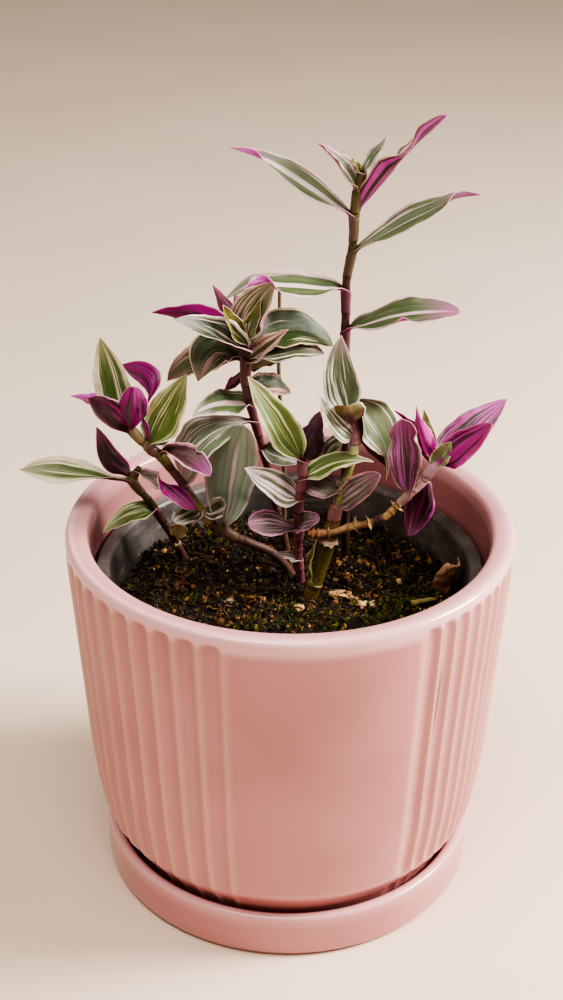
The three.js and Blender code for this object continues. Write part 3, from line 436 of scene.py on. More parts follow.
class Shader:
    """A material and short calls for its nodes."""

    def __init__(self, name):
        self.material = bpy.data.materials.new(name)
        self.material.use_nodes = True
        self.tree = self.material.node_tree
        self.bsdf = self.tree.nodes["Principled BSDF"]

    def node(self, kind, inputs=(), **settings):
        made = self.tree.nodes.new("ShaderNode" + kind)
        for key, value in settings.items():
            setattr(made, key, value)
        for key, value in dict(inputs).items():
            self.put(made.inputs[key], value)
        return made

    def put(self, socket, value):
        if isinstance(value, bpy.types.NodeSocket):
            self.tree.links.new(value, socket)
        elif isinstance(value, tuple) and len(value) == 3 and socket.type == "RGBA":
            socket.default_value = (*value, 1)
        else:
            socket.default_value = value

    def set(self, **values):
        for key, value in values.items():
            self.put(self.bsdf.inputs[key.replace("_", " ")], value)

    def math(self, operation, a, b=0.0):
        return self.node("Math", {0: a, 1: b}, operation=operation).outputs[0]

    def plus(self, a, b):
        return self.math("ADD", a, b)

    def minus(self, a, b):
        return self.math("SUBTRACT", a, b)

    def times(self, a, b):
        return self.math("MULTIPLY", a, b)

    def size(self, a):
        return self.math("ABSOLUTE", a)

    def mix(self, factor, a, b, blend="MIX"):
        made = self.node("Mix", {0: factor, 6: a, 7: b}, data_type="RGBA", blend_type=blend)
        return made.outputs[2]

    def darker(self, color, share):
        """The colour times a linear share of each of its parts."""
        return self.mix(1.0, color, share, "MULTIPLY")

    def steps(self, value, low, high, start=0.0, end=1.0):
        made = self.node("MapRange", {0: value, 1: low, 2: high, 3: start, 4: end},
                         interpolation_type="SMOOTHSTEP")
        return made.outputs[0]

    def noise(self, vector, scale, detail=3.0, rough=0.5):
        made = self.node("TexNoise", {"Vector": vector, "Scale": scale, "Detail": detail,
                                      "Roughness": rough})
        return made.outputs["Fac"]

    def attribute(self, name, output="Color"):
        return self.node("Attribute", attribute_name=name).outputs[output]

    def place(self):
        return self.node("TexCoord").outputs["Object"]

    def stretch(self, vector, scale):
        return self.node("VectorMath", {0: vector, 1: scale}, operation="MULTIPLY").outputs[0]

    def parts(self, vector):
        return self.node("SeparateXYZ", {0: vector}).outputs

    def vector(self, x, y, z):
        return self.node("CombineXYZ", {0: x, 1: y, 2: z}).outputs[0]

    def bump(self, height, strength, distance):
        made = self.node("Bump", {"Height": height, "Strength": strength, "Distance": distance})
        self.set(Normal=made.outputs[0])


# How an attribute with one, three or four numbers a point is kept.
ATTRIBUTE_KINDS = {1: ("FLOAT", "value"), 3: ("FLOAT_VECTOR", "vector"), 4: ("FLOAT_COLOR", "color")}


def mesh_piece(name, points, faces, material, slot, node=None, **attributes):
    """A smooth closed mesh from points in millimetres, with attributes on its points."""
    mesh = bpy.data.meshes.new(name)
    mesh.from_pydata((np.asarray(points, float) * MM).tolist(), [], [list(f) for f in faces])
    mesh.validate()
    for key, values in attributes.items():
        values = np.asarray(values, np.float32)
        kind, field = ATTRIBUTE_KINDS[values.size // len(points)]
        mesh.attributes.new(key, kind, "POINT").data.foreach_set(field, values.ravel())
    work = bmesh.new()
    work.from_mesh(mesh)
    bmesh.ops.recalc_face_normals(work, faces=work.faces)
    work.to_mesh(mesh)
    work.free()
    mesh.shade_smooth()
    piece = bpy.data.objects.new(name, mesh)
    bpy.context.scene.collection.objects.link(piece)
    mesh.materials.append(material)
    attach(piece, "root")
    if node:
        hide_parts(node)
    return piece


def glaze_material():
    """Dusty pink glaze, paler where it runs thin over edges and crests; at the lip, the arch
    tops and the saucer rim that pale also stands for a painted highlight. Its roughness
    stays in a narrow range, because a wider one draws faint contour lines."""
    s = Shader("pink_glaze")
    place = s.place()
    cloudy = s.noise(place, 26.0, 1.0)
    drift = s.noise(s.stretch(place, (9.0, 9.0, 3.0)), 1.0, 1.0)
    base = s.mix(s.steps(cloudy, 0.1, 0.9), tone(186, 124, 124), tone(209, 147, 147))
    base = s.mix(s.steps(drift, 0.1, 0.95, 0.0, 0.5), base, tone(188, 126, 126))
    base = s.mix(s.times(s.attribute("crest", "Fac"), 0.6), base, tone(216, 168, 152))
    # Paler pink where the glaze runs thin at the lip, arch tops and saucer rim, with a painted highlight on
    # the upward-facing lip and rim
    base = s.mix(s.times(s.attribute("thin", "Fac"), 0.72), base, tone(246, 200, 203))
    specks = s.noise(place, 900.0, 2.0)
    base = s.mix(s.steps(specks, 0.68, 0.74, 0.0, 0.22), base, tone(176, 118, 112))
    x, y, z = s.parts(place)
    turn = s.math("ARCTAN2", x, s.times(y, -1.0))
    line = s.plus(s.times(z, CRACK_LEAN), CRACK_TURN)
    near = s.steps(s.size(s.minus(turn, line)), CRACK_HALF, CRACK_HALF * 0.3)
    foot = s.steps(z, CRACK_FOOT, CRACK_FOOT + CRACK_FADE)
    head = s.steps(z, CRACK_TOP, CRACK_TOP - CRACK_FADE)
    base = s.mix(s.times(near, s.times(foot, head)), base, tone(84, 68, 62))
    base = s.mix(s.attribute("bare", "Fac"), base, tone(196, 172, 150))
    s.set(Base_Color=base, Roughness=s.steps(cloudy, 0.1, 0.9, 0.2, 0.262),
          Coat_Weight=0.35, Coat_Roughness=0.12, Specular_IOR_Level=0.5)
    return s.material


def plastic_material():
    """Black nursery-pot plastic with scuffs, dust and dried soil."""
    s = Shader("black_plastic")
    place = s.place()
    dust = s.noise(place, 70.0, 5.0, 0.6)
    scuffs = s.noise(s.stretch(place, (60.0, 60.0, 300.0)), 1.0, 4.0, 0.7)
    base = s.mix(s.steps(dust, 0.4, 0.72), tone(80, 75, 72), tone(114, 107, 102))
    base = s.mix(s.steps(scuffs, 0.55, 0.75, 0.0, 0.5), base, tone(156, 147, 140))
    dirt = s.noise(place, 520.0, 3.0, 0.7)
    base = s.mix(s.steps(dirt, 0.63, 0.68), base, tone(62, 44, 32))
    salt = s.noise(place, 760.0, 2.0, 0.5)
    base = s.mix(s.steps(salt, 0.71, 0.74, 0.0, 0.7), base, tone(196, 186, 176))
    s.set(Base_Color=base, Roughness=s.steps(dust, 0.3, 0.7, 0.3, 0.5), Specular_IOR_Level=0.5)
    s.bump(s.plus(dust, s.times(scuffs, 0.4)), 0.25, 0.0006)
    return s.material


def soil_material():
    """Moist dark potting mix."""
    s = Shader("potting_soil")
    place = s.place()
    clods = s.noise(place, 190.0, 6.0, 0.65)
    grain = s.noise(place, 1100.0, 4.0, 0.7)
    green = s.noise(place, 60.0, 4.0, 0.6)
    base = s.mix(s.steps(clods, 0.35, 0.65), tone(18, 13, 10), tone(54, 39, 28))
    base = s.mix(s.steps(grain, 0.55, 0.7, 0.0, 0.8), base, tone(100, 76, 52))
    base = s.mix(s.steps(green, 0.56, 0.7, 0.0, 0.5), base, tone(52, 54, 26))
    s.set(Base_Color=base, Roughness=0.92, Specular_IOR_Level=0.25)
    s.bump(s.plus(clods, s.times(grain, 0.5)), 0.9, 0.0012)
    return s.material


def litter_material(name, roughness, gloss):
    """Bits on the soil, each with its own tint in the attribute "tint"."""
    s = Shader(name)
    tint = s.attribute("tint")
    grain = s.noise(s.stretch(s.place(), (1400.0, 1400.0, 900.0)), 1.0, 4.0, 0.65)
    base = s.mix(s.steps(grain, 0.3, 0.62), s.darker(tint, (0.54, 0.49, 0.44)), tint)
    s.set(Base_Color=base, Roughness=roughness, Specular_IOR_Level=gloss)
    s.bump(grain, 0.6, 0.0005)
    return s.material


def leaf_material():
    """Both sides of the striped leaves. "leaf" holds the place on the blade: across from
    -1 to 1, along from 0 to 1 and the leaf's own number. "bands" holds how much is striped
    and how wide the pale bands beside the midrib and along the edges are."""
    s = Shader("leaf_and_stem")
    across, along, own = s.parts(s.attribute("leaf", "Vector"))
    striped, centre, margin = s.node("SeparateColor", {0: s.attribute("bands")}).outputs[:3]
    wander = s.noise(s.vector(s.times(across, 0.8), s.times(along, 2.6), own), 1.0, 1.0)
    bent = s.plus(across, s.times(s.minus(wander, 0.5), 0.22))

    def lines(scale, shift, stretch, detail):
        """Noise drawn out along the blade."""
        place = s.vector(s.times(bent, scale), s.times(along, stretch), s.plus(own, shift))
        return s.noise(place, 1.0, detail, 0.55)

    broad = lines(4.2, 0.0, 0.7, 2.0)
    narrow = lines(13.0, 7.3, 1.1, 2.0)
    cells = lines(60.0, 3.1, 16.0, 3.0)
    veins = lines(26.0, 5.7, 0.6, 1.0)
    # Soft patches for a painted sheen on the leaf
    painted_sheen = lines(3.0, 11.9, 3.0, 3.0)
    field = s.plus(s.times(broad, 0.62), s.times(narrow, 0.38))
    level = s.minus(0.66, s.times(striped, 0.32))
    stripes = s.steps(s.minus(field, level), -0.012, 0.018)
    beside = s.steps(s.minus(centre, s.size(s.minus(bent, 0.05))), -0.03, 0.03)
    outer = s.minus(s.size(bent), s.minus(1.0, margin))
    rim = s.steps(s.plus(outer, s.times(s.minus(narrow, 0.5), 0.5)), -0.02, 0.03)
    mask = s.math("MAXIMUM", stripes, s.math("MAXIMUM", beside, rim))

    toward = s.steps(along, 0.62, 0.95)
    edge, tip = s.attribute("edge"), s.attribute("tip")
    ground = s.attribute("ground")
    ground = s.mix(s.steps(veins, 0.35, 0.62), s.darker(ground, (0.62, 0.64, 0.58)), ground)
    # Painted sheen: the ground is paled a little toward the edge colour in soft patches
    ground = s.mix(s.steps(painted_sheen, 0.45, 0.7, 0.0, 0.1), ground, edge)
    ground = s.mix(s.times(toward, 0.35), ground, tip)
    stripe = s.mix(toward, s.attribute("stripe"), tip)
    stripe = s.mix(s.steps(veins, 0.35, 0.6), s.darker(stripe, (0.86, 0.84, 0.84)), stripe)
    base = s.mix(mask, ground, stripe)
    base = s.mix(s.steps(s.size(across), 0.90, 0.97), base, edge)
    base = s.mix(s.times(s.steps(along, 0.16, 0.02), 0.92), base, s.attribute("neck"))
    base = s.mix(s.steps(cells, 0.3, 0.7, 0.16, 0.0), base, (0.08, 0.07, 0.05))
    s.set(Base_Color=base, Roughness=s.steps(cells, 0.3, 0.7, 0.36, 0.5), Specular_IOR_Level=0.45,
          Subsurface_Weight=0.18, Subsurface_Scale=0.0012, Coat_Weight=0.08, Coat_Roughness=0.3)
    s.bump(s.plus(veins, s.times(cells, 0.5)), 0.35, 0.0004)
    return s.material


def stem_material():
    """Stems: "skin" is the colour along the stem, "ring" marks its nodes and "round" holds
    the turn round the stem and the place along it."""
    s = Shader("stem_skin")
    skin = s.attribute("skin")
    streaks = s.noise(s.stretch(s.attribute("round", "Vector"), (6.0, 6.0, 0.9)), 1.0, 4.0, 0.6)
    blotches = s.noise(s.place(), 260.0, 3.0)
    base = s.mix(s.steps(streaks, 0.35, 0.6), s.darker(skin, (0.5, 0.42, 0.44)), skin)
    base = s.mix(s.steps(blotches, 0.56, 0.72, 0.0, 0.5), base, s.mix(0.22, skin, (0.62, 0.5, 0.4)))
    ring = s.times(s.attribute("ring", "Fac"), 0.75)
    base = s.mix(ring, base, s.darker(skin, (0.36, 0.26, 0.26)))
    s.set(Base_Color=base, Roughness=0.42, Specular_IOR_Level=0.45, Subsurface_Weight=0.1,
          Subsurface_Scale=0.0015)
    s.bump(s.plus(streaks, s.times(blotches, 0.5)), 0.4, 0.0005)
    return s.material


GLAZE = glaze_material()
PLASTIC = plastic_material()
SOIL = soil_material()
LITTER = litter_material("soil_litter", 0.85, 0.3)
MOSS = litter_material("moss_shoots", 0.6, 0.35)
LEAF = leaf_material()
STEM = stem_material()


def rounded(corners, steps):
    """A profile with its corners rounded: each corner is (radius, height, rounding)."""
    places = [Vector(corner[:2]) for corner in corners]
    line = [places[0]]
    for before, here, after, corner in zip(places, places[1:], places[2:], corners[1:]):
        back, onward = before - here, after - here
        reach = min(corner[2], back.length * 0.49, onward.length * 0.49)
        start = here + back.normalized() * reach
        end = here + onward.normalized() * reach
        for k in range(steps + 1):
            t = k / steps
            line.append(start * (1 - t) ** 2 + here * (2 * t * (1 - t)) + end * t * t)
    return [(p.x, p.y) for p in line + places[-1:]]


def filled(profile, spacing):
    """The profile with further points on its long straight stretches."""
    line = [profile[0]]
    for (r0, z0), (r1, z1) in zip(profile, profile[1:]):
        count = max(1, math.ceil(math.hypot(r1 - r0, z1 - z0) / spacing))
        line += [(r0 + (r1 - r0) * k / count, z0 + (z1 - z0) * k / count)
                 for k in range(1, count + 1)]
    return line


def turned(r, z, angles):
    """Points at the radii and heights of each ring, all round."""
    rows = np.broadcast_arrays(r * np.sin(angles), -r * np.cos(angles), z)
    return np.stack(rows, axis=-1).reshape(-1, 3)


def ring_faces(rings, count, closed=False):
    """Quads between rings of points, and from the last ring to the first where closed."""
    faces = []
    for ring in range(rings if closed else rings - 1):
        low, high = ring * count, (ring + 1) % rings * count
        for k in range(count):
            beside = (k + 1) % count
            faces.append((low + k, low + beside, high + beside, high + k))
    return faces


def lathe(profile, count, shape=None):
    """Points and faces of a turned solid. The profile starts and ends on the axis; shape
    may change the radii."""
    angles = 2 * np.pi * np.arange(count) / count
    r, z = np.array(profile[1:-1]).T[:, :, None]
    if shape:
        r = shape(r, z, angles)
    points = turned(r, z, angles)
    faces = ring_faces(len(r), count)
    for start, height in ((0, profile[0][1]), ((len(r) - 1) * count, profile[-1][1])):
        middle = len(points)
        points = np.vstack([points, (0, 0, height)])
        faces += [(middle, start + k, start + (k + 1) % count) for k in range(count)]
    return points, faces


def flute_columns():
    """Directions round the planter in degrees, with the place across their flute from 0 to
    1, or -1 on the plain panel."""
    panel = PANEL_RIGHT_DEG - PANEL_LEFT_DEG
    spare = 360 - panel - FLUTE_COUNT * FIRST_PITCH_DEG
    widening = spare * 2 / (FLUTE_COUNT * (FLUTE_COUNT - 1))
    columns = []
    start = PANEL_RIGHT_DEG
    for flute in range(FLUTE_COUNT):
        pitch = FIRST_PITCH_DEG + widening * flute
        columns += [(start + share * pitch, share) for share in FLUTE_CUTS]
        start += pitch
    columns.append((start, 0))
    return columns + [(start + panel * k / PANEL_CUTS, -1) for k in range(1, PANEL_CUTS)]


def planter_profile():
    """The planter's outline from its foot ring up the outside and down the inside, with
    close rows where the flutes end in arches."""
    corners = [
        (FOOT_RING, POT_FOOT + FOOT_RECESS, 0), (47.5, POT_FOOT, 1.2), (57.5, POT_FOOT, 2),
        (60.6, 17.5, 3), (66.9, 27, 2.2), (69.9, 46, 8), (75.0, 121, 6), (75.3, 131.6, 3.4),
        (74.2, 133.1, 1.6), (70.5, POT_HEIGHT, 2), (68, 132.4, 1.6), (67.2, 129, 2),
        (66, 100, 6), (62.5, 45, 6), (59, 22, 5), (56, 12.2, 4), (52, POT_FLOOR, 3),
        (DRAIN_RADIUS, POT_FLOOR, 0.8), (DRAIN_RADIUS, POT_FOOT + FOOT_RECESS, 0.5),
        (FOOT_RING, POT_FOOT + FOOT_RECESS, 0),
    ]
    profile = []
    for r, z in filled(rounded(corners, 5), 5.5)[:-1]:
        if profile and r > 70 and 122 < z < 132 and z > profile[-1][1] + ARCH_SPACING:
            r0, z0 = profile[-1]
            steps = math.ceil((z - z0) / ARCH_SPACING)
            profile += [(r0 + (r - r0) * k / steps, z0 + (z - z0) * k / steps)
                        for k in range(1, steps)]
        profile.append((r, z))
    return profile


def outer_pot():
    """The planter. Each flute is a shallow channel that ends in an arch under the lip and
    runs out over the foot."""
    degrees, across = np.array(flute_columns()).T
    profile = planter_profile()
    top = max(range(len(profile)), key=lambda i: profile[i][1])
    inside = (np.arange(len(profile)) > top)[:, None]
    r, z = np.array(profile).T[:, :, None]
    fluted = across >= 0
    off = np.abs(2 * across - 1)
    channel = 1 - np.minimum(off / 0.93, 1) ** 2.1
    arch = ARCH_TOP - 3.2 * (1 - np.sqrt(np.maximum(0, 1 - off ** 4)))
    below_arch = smoothstep(arch + 0.5, arch - 1.7, z)
    shallow = 0.42 + 0.58 * smoothstep(24.6, 26.6, z + 1.4 * (channel - 0.5))
    above_foot = np.where(z > 27, 1, shallow) * smoothstep(POT_FOOT, 15, z)
    cut = fluted & ~inside & (r > 56)
    depth = cut * channel * below_arch * above_foot
    crest = cut * smoothstep(0.5, 0.95, off) * smoothstep(130.5, 127, z)
    at_knee = ~inside & (z > 20) & (z < 28.5)
    points = turned(r - FLUTE_DEPTH * depth, z - 1.6 * depth * at_knee, np.radians(degrees))
    # Pale band near the top: the glaze runs thin there, and a highlight is painted in on the lip
    thin = np.where(fluted, 1 - depth, 1) * np.where(inside, 0.4, 0.9)
    thin = thin * smoothstep(np.where(fluted, 126.5, 125.6), 129.5, z)
    bare = np.broadcast_to((z < POT_FOOT + 0.3) & (r > 40), thin.shape)
    faces = ring_faces(len(profile), len(across), closed=True)
    mesh_piece("planter_fluted", points, faces, GLAZE, "pink_glaze", "outer_pot",
               thin=thin, crest=crest, bare=bare)


def saucer():
    inner = SAUCER_RADIUS - 4.1
    profile = rounded([
        (0, 0.6, 0), (58, 0.6, 0.8), (59.5, 0, 0.5), (SAUCER_RADIUS - 1.6, 0, 0.9),
        (SAUCER_RADIUS, 2.2, 1.2), (SAUCER_RADIUS, SAUCER_HEIGHT - 0.6, 2.2),
        (SAUCER_RADIUS - 2.2, SAUCER_HEIGHT + 0.1, 1.6), (inner, SAUCER_HEIGHT - 1.2, 1.6),
        (inner - 1.2, 7, 3), (inner - 3.5, SAUCER_FLOOR, 2.5), (0, SAUCER_FLOOR, 0),
    ], 6)
    points, faces = lathe(filled(profile, 6), 180)
    radius, height = np.hypot(points[:, 0], points[:, 1]), points[:, 2]
    # The saucer rim is paler where the glaze runs thin, with a painted highlight on it
    mesh_piece("saucer_glazed", points, faces, GLAZE, "pink_glaze", "saucer",
               thin=smoothstep(SAUCER_HEIGHT - 3, SAUCER_HEIGHT, height) * 0.8,
               crest=np.zeros(len(points)), bare=(height < 0.5) & (radius > 58))


def nursery_radius(height):
    """The inside radius of the nursery pot."""
    share = (height - NURSERY_FOOT) / (NURSERY_TOP - NURSERY_FOOT)
    foot = NURSERY_FOOT_RADIUS - NURSERY_WALL
    return foot + (NURSERY_MOUTH - foot) * share


def nursery_pot():
    """The black pot, with a step in its wall, a turned-down rim and holes in its floor."""
    top, wall = NURSERY_TOP, NURSERY_WALL
    under, floor = top - wall, NURSERY_FOOT + wall
    profile = rounded([
        (0, NURSERY_FOOT, 0), (NURSERY_FOOT_RADIUS, NURSERY_FOOT, 2),
        (nursery_radius(88) + wall, 88, 1), (nursery_radius(90) + wall + 0.5, 90, 1),
        (nursery_radius(under) + wall + 0.2, under, 0.5), (NURSERY_RIM - wall, under, 0.4),
        (NURSERY_RIM - wall, top - NURSERY_SKIRT, 0.2), (NURSERY_RIM, top - NURSERY_SKIRT, 0.2),
        (NURSERY_RIM, top, 0.9), (NURSERY_MOUTH + 1.2, top - 0.2, 0.5),
        (NURSERY_MOUTH + 0.2, top - 1.2, 0.8), (nursery_radius(104), 104, 1),
        (nursery_radius(90), 90, 0.6), (nursery_radius(floor), floor, 1.5), (0, floor, 0),
    ], 4)

    def buckle(r, z, angles):
        """The thin rim isn't quite round."""
        lift = smoothstep(60, top, z)
        return r + 0.18 * lift * np.sin(3 * angles + 0.7) * np.cos(5 * angles)
    points, faces = lathe(filled(profile, 7), 160, buckle)
    piece = mesh_piece("nursery_pot_moulded", points, faces, PLASTIC, "black_plastic", "nursery_pot")
    cut_holes(piece, NURSERY_HOLE_CIRCLE, NURSERY_HOLES, NURSERY_HOLE_RADIUS, NURSERY_FOOT)


def cut_holes(piece, circle, count, radius, height):
    """Round holes through a floor, cut by cylinders that are then removed."""
    cutter = bpy.data.meshes.new("hole_cutter")
    work = bmesh.new()
    for k in range(count):
        angle = 2 * math.pi * k / count
        shift = Vector((circle * math.cos(angle), circle * math.sin(angle), height)) * MM
        bmesh.ops.create_cone(work, cap_ends=True, segments=24, radius1=radius * MM,
                              radius2=radius * MM, depth=8 * MM, matrix=Matrix.Translation(shift))
    work.to_mesh(cutter)
    work.free()
    tool = bpy.data.objects.new("hole_cutter", cutter)
    bpy.context.scene.collection.objects.link(tool)
    change = piece.modifiers.new("holes", "BOOLEAN")
    change.operation = "DIFFERENCE"
    change.solver = "EXACT"
    change.object = tool
    bpy.context.view_layer.update()
    graph = bpy.context.evaluated_depsgraph_get()
    piece.data, closed = bpy.data.meshes.new_from_object(piece.evaluated_get(graph)), piece.data
    piece.modifiers.clear()
    piece.data.shade_smooth()
    bpy.data.objects.remove(tool)
    for spare in (cutter, closed):
        bpy.data.meshes.remove(spare)


outer_pot()
saucer()
nursery_pot()


def unit(v):
    return v / max(float(np.linalg.norm(v)), 1e-9)


def curve(points, place):
    """A point on the smooth curve through the points; place runs from 0 to the last one."""
    pts = np.asarray(points, float)
    last = len(pts) - 1
    i = int(min(max(math.floor(place), 0), last - 1))
    u = place - i
    p1, p2 = pts[i], pts[i + 1]
    p0 = pts[i - 1] if i > 0 else 2 * p1 - p2
    p3 = pts[i + 2] if i + 2 <= last else 2 * p2 - p1
    return 0.5 * (2 * p1 + (p2 - p0) * u + (2 * p0 - 5 * p1 + 4 * p2 - p3) * u * u
                  + (3 * p1 - p0 - 3 * p2 + p3) * u ** 3)


def columns_at(marks, places, rows):
    """Each column of the rows, which lie at the places, at the marks."""
    return np.stack([np.interp(marks, places, column) for column in np.transpose(rows)], axis=-1)


class Stalk:
    """The smooth course of a stem: its places, lengths and radii."""

    def __init__(self, plant):
        self.name = plant["name"]
        self.woody = self.name.endswith("_branch")
        self.node = self.name.replace("_branch", "")
        control = np.asarray(plant["points"], float)
        last = len(control) - 1
        places = [i / STEM_CUTS for i in range(last * STEM_CUTS + 1)]
        line = [curve(control, t) for t in places]
        values = plant["radius"]
        marks = np.linspace(0 if self.woody else -1, last, len(values))
        radii = list(np.interp(places, marks, values))
        if not self.woody:
            line = [line[0] - (0, 0, STEM_BURIAL), line[0] - (0, 0, STEM_COLLAR)] + line
            radii = [values[0]] * 2 + radii
            places = [-1, -0.2] + places
        self.places, self.line, self.radii = places, np.array(line), np.array(radii)
        gaps = np.linalg.norm(np.diff(self.line, axis=0), axis=1)
        self.lengths = np.concatenate([[0], np.cumsum(gaps)])

    def length(self, place):
        return float(np.interp(place, self.places, self.lengths))

    def middle(self, length):
        return columns_at(length, self.lengths, self.line)

    def spot(self, length):
        """Middle, direction and radius at a length from the foot."""
        along = unit(self.middle(length + 0.5) - self.middle(length - 0.5))
        return self.middle(length), along, float(np.interp(length, self.lengths, self.radii))


def leaf_outline(share, shoulder, point):
    """How wide a leaf is along its length, against its widest place."""
    widest = shoulder / (shoulder + point)
    scale = widest ** shoulder * (1 - widest) ** point
    return share ** shoulder * (1 - share) ** point / scale


def flapped(section, s, side, centre, spread, angle, hinge):
    """A cross-section with one margin turned up, most at one place along the leaf."""
    amount = angle * math.exp(-((s - centre) / spread) ** 2)
    if abs(amount) < 0.5:
        return section
    section = section.copy()
    first = round(hinge * LEAF_HALF)
    hinges = range(first, min(first + 4, LEAF_HALF - 1))
    for step in hinges:
        turn = side * math.radians(amount / len(hinges))
        pivot = section[LEAF_HALF + side * step].copy()
        beyond = slice(LEAF_HALF + step + 1, None) if side > 0 else slice(0, LEAF_HALF - step)
        x, z = (section[beyond] - pivot).T
        section[beyond] = pivot + np.stack([x * math.cos(turn) - z * math.sin(turn),
                                            x * math.sin(turn) + z * math.cos(turn)], axis=1)
    return section


def cross_section(spec, s, length, foot_reach, number):
    """Half-folded and rippled: the sideways and upward place of each column of a leaf at
    the share s of its length."""
    places, breadths = zip(*spec.get("breadth", ((0, 1), (1, 1))))
    outline = leaf_outline(s, spec.get("shoulder", 0.5), spec.get("point", 0.9))
    reach = spec["width"] / 2 * outline
    reach = max(TIP_REACH, reach * float(np.interp(s, places, breadths)))
    if s < 0.3:
        reach = max(reach, foot_reach * (1 - s / 0.34))
    reach *= 1 + 0.018 * math.sin(9 * s * length / 12 + number)
    trough = 1 - smoothstep(0, 1, s / spec.get("trough", 0.34))
    fold = spec.get("fold", 15)
    fold += (FOOT_FOLD - fold) * trough
    u = ACROSS
    lift = np.radians(fold) * np.abs(u) ** 0.5
    swell = min(1, 6 * s * (1 - s))
    phase = 4.4 * math.pi * s + np.where(u > 0, 1.3, 0)
    ripple = MARGIN_WAVE * np.sin(phase) * u * u * swell
    ripple += 0.16 * np.sin(3.1 * phase + number + 2 * u) * np.abs(u) ** 3 * swell
    ripple += 0.05 * np.cos(u * 6 * math.pi) * swell
    ripple -= 0.18 * np.exp(-(u / 0.09) ** 2) * swell
    section = np.stack([reach * u * np.cos(lift), reach * np.abs(u) * np.sin(lift) + ripple], axis=1)
    for flap in spec.get("flaps", ()):
        section = flapped(section, s, *flap)
    return section


def leaf_sheet(stalk, spec, number, sleeve, room):
    """The middle sheet of a leaf, from the foot of its sheath to its tip, the direction that
    its tip's upper side looks in, and each point's place on the blade. The sheath is wrapped
    round the stem, opens as a trough and passes into the blade."""
    start = stalk.length(spec["at"])
    base, stem_along, stem_radius = stalk.spot(start)
    tip = np.array(spec["tip"], float)
    chord = unit(tip - base)
    top = np.array(spec["top"], float)
    upper = unit(top - chord * (top @ chord))
    side = unit(np.cross(chord, upper))
    middle = (base + tip) / 2 + upper * 2 * spec.get("arch", 0) + side * 2 * spec.get("bow", 0)
    length = float(np.linalg.norm(tip - base))
    first = unit(middle - base)
    away = first - stem_along * (first @ stem_along)
    away = unit(away if np.linalg.norm(away) > 0.12 else -upper)
    around = np.cross(stem_along, away)
    around = around * (1 if around @ np.cross(first, upper) > 0 else -1)
    roll_places, rolls = zip(*spec.get("roll", ((0, 0), (1, 0))))

    def wrap(centre, radius, half_turn):
        angle = ACROSS * math.radians(half_turn)
        return centre + radius * (np.cos(angle)[:, None] * away + np.sin(angle)[:, None] * around)

    sheet, places = [], []
    for row in range(SHEATH_ROWS):
        share = row / SHEATH_ROWS
        centre, _, radius = stalk.spot(start - sleeve * (1 - share))
        sheet.append(wrap(centre, radius + room + SHEATH_FLARE * share ** 2, SHEATH_TURN))
        places += [(u, (share - 1) * 0.12, number * 1.7) for u in ACROSS]
    for row in range(LEAF_ROWS + 1):
        s = (row / LEAF_ROWS) ** 0.9
        place = (1 - s) ** 2 * base + 2 * s * (1 - s) * middle + s * s * tip
        for centre, spread, sideways, upward in spec.get("sway", ()):
            share = math.exp(-((s - centre) / spread) ** 2)
            place = place + share * (sideways * side + upward * upper)
        along = unit((1 - s) * (middle - base) + s * (tip - middle))
        up = unit(upper - along * (upper @ along))
        out = np.cross(along, up)
        turn = math.radians(float(np.interp(s, roll_places, rolls)))
        up, out = (up * math.cos(turn) - out * math.sin(turn),
                   out * math.cos(turn) + up * math.sin(turn))
        place = place - up * spec.get("curl", 0) * max(0, (s - 0.62) / 0.38) ** 2
        section = cross_section(spec, s, length, stem_radius + 1.1, number)
        line = place + section[:, :1] * out + section[:, 1:] * up
        leaving = smoothstep(0, 1, (s - 0.01) / 0.2)
        if leaving < 1:
            rise = stem_along * min(s * length * 0.7, 4.5)
            opened = SHEATH_TURN - 118 * smoothstep(0, 1, s / 0.12)
            held = wrap(base + rise, stem_radius + room + SHEATH_FLARE + 1.2 * s, opened)
            line = held * (1 - leaving) + line * leaving
        sheet.append(line)
        places += [(u, s, number * 1.7) for u in ACROSS]
    return np.array(sheet), up, np.array(places)


def blade(stalk, spec, number, sleeve, room):
    """A thin leaf, thickest at its midrib: points, faces, places on it and a side's count."""
    sheet, last_up, places = leaf_sheet(stalk, spec, number, sleeve, room)
    rows, wide = sheet.shape[:2]
    normals = np.cross(np.gradient(sheet, axis=1), np.gradient(sheet, axis=0))
    normals /= np.maximum(np.linalg.norm(normals, axis=2, keepdims=True), 1e-9)
    normals *= 1 if normals[rows - 6, LEAF_HALF] @ last_up > 0 else -1
    s = np.linspace(0, 1, rows)[:, None, None]
    half = BLADE_THICKNESS / 2 * (1 - 0.6 * ACROSS[None, :, None] ** 2) * (1 - 0.45 * s ** 3)
    half = half * (0.5 + 0.5 * np.clip(s * 6, 0, 1))
    points = np.concatenate([(sheet + normals * half).reshape(-1, 3),
                             (sheet - normals * half).reshape(-1, 3)])
    return points, slab_faces(rows, wide), np.concatenate([places, places]), rows * wide


def sheet_faces(rows, wide):
    """The quads of a sheet of points."""
    return [(a, a + 1, a + wide + 1, a + wide)
            for r in range(rows - 1) for a in range(r * wide, (r + 1) * wide - 1)]


def slab_faces(rows, wide):
    """The faces of a thin sheet: its two sides, then its rim."""
    below = rows * wide
    faces = sheet_faces(rows, wide)
    faces += [tuple(below + i for i in reversed(face)) for face in faces]
    rim = ([*range(wide)] + [r * wide + wide - 1 for r in range(1, rows)]
           + [*range(rows * wide - 2, (rows - 1) * wide - 1, -1)]
           + [r * wide for r in range(rows - 2, 0, -1)])
    return faces + [(a, b, below + b, below + a) for a, b in zip(rim, rim[1:] + rim[:1])]


def paint(look, count, neck):
    """The attributes of one side of a leaf."""
    *colors, striped, centre, margin = LOOKS[look]
    names = ("ground", "stripe", "edge", "tip", "neck")
    values = {name: tone(*color) for name, color in zip(names, (*colors, neck))}
    values["bands"] = (striped, centre, margin, 1)
    return {name: np.tile(value, (count, 1)) for name, value in values.items()}


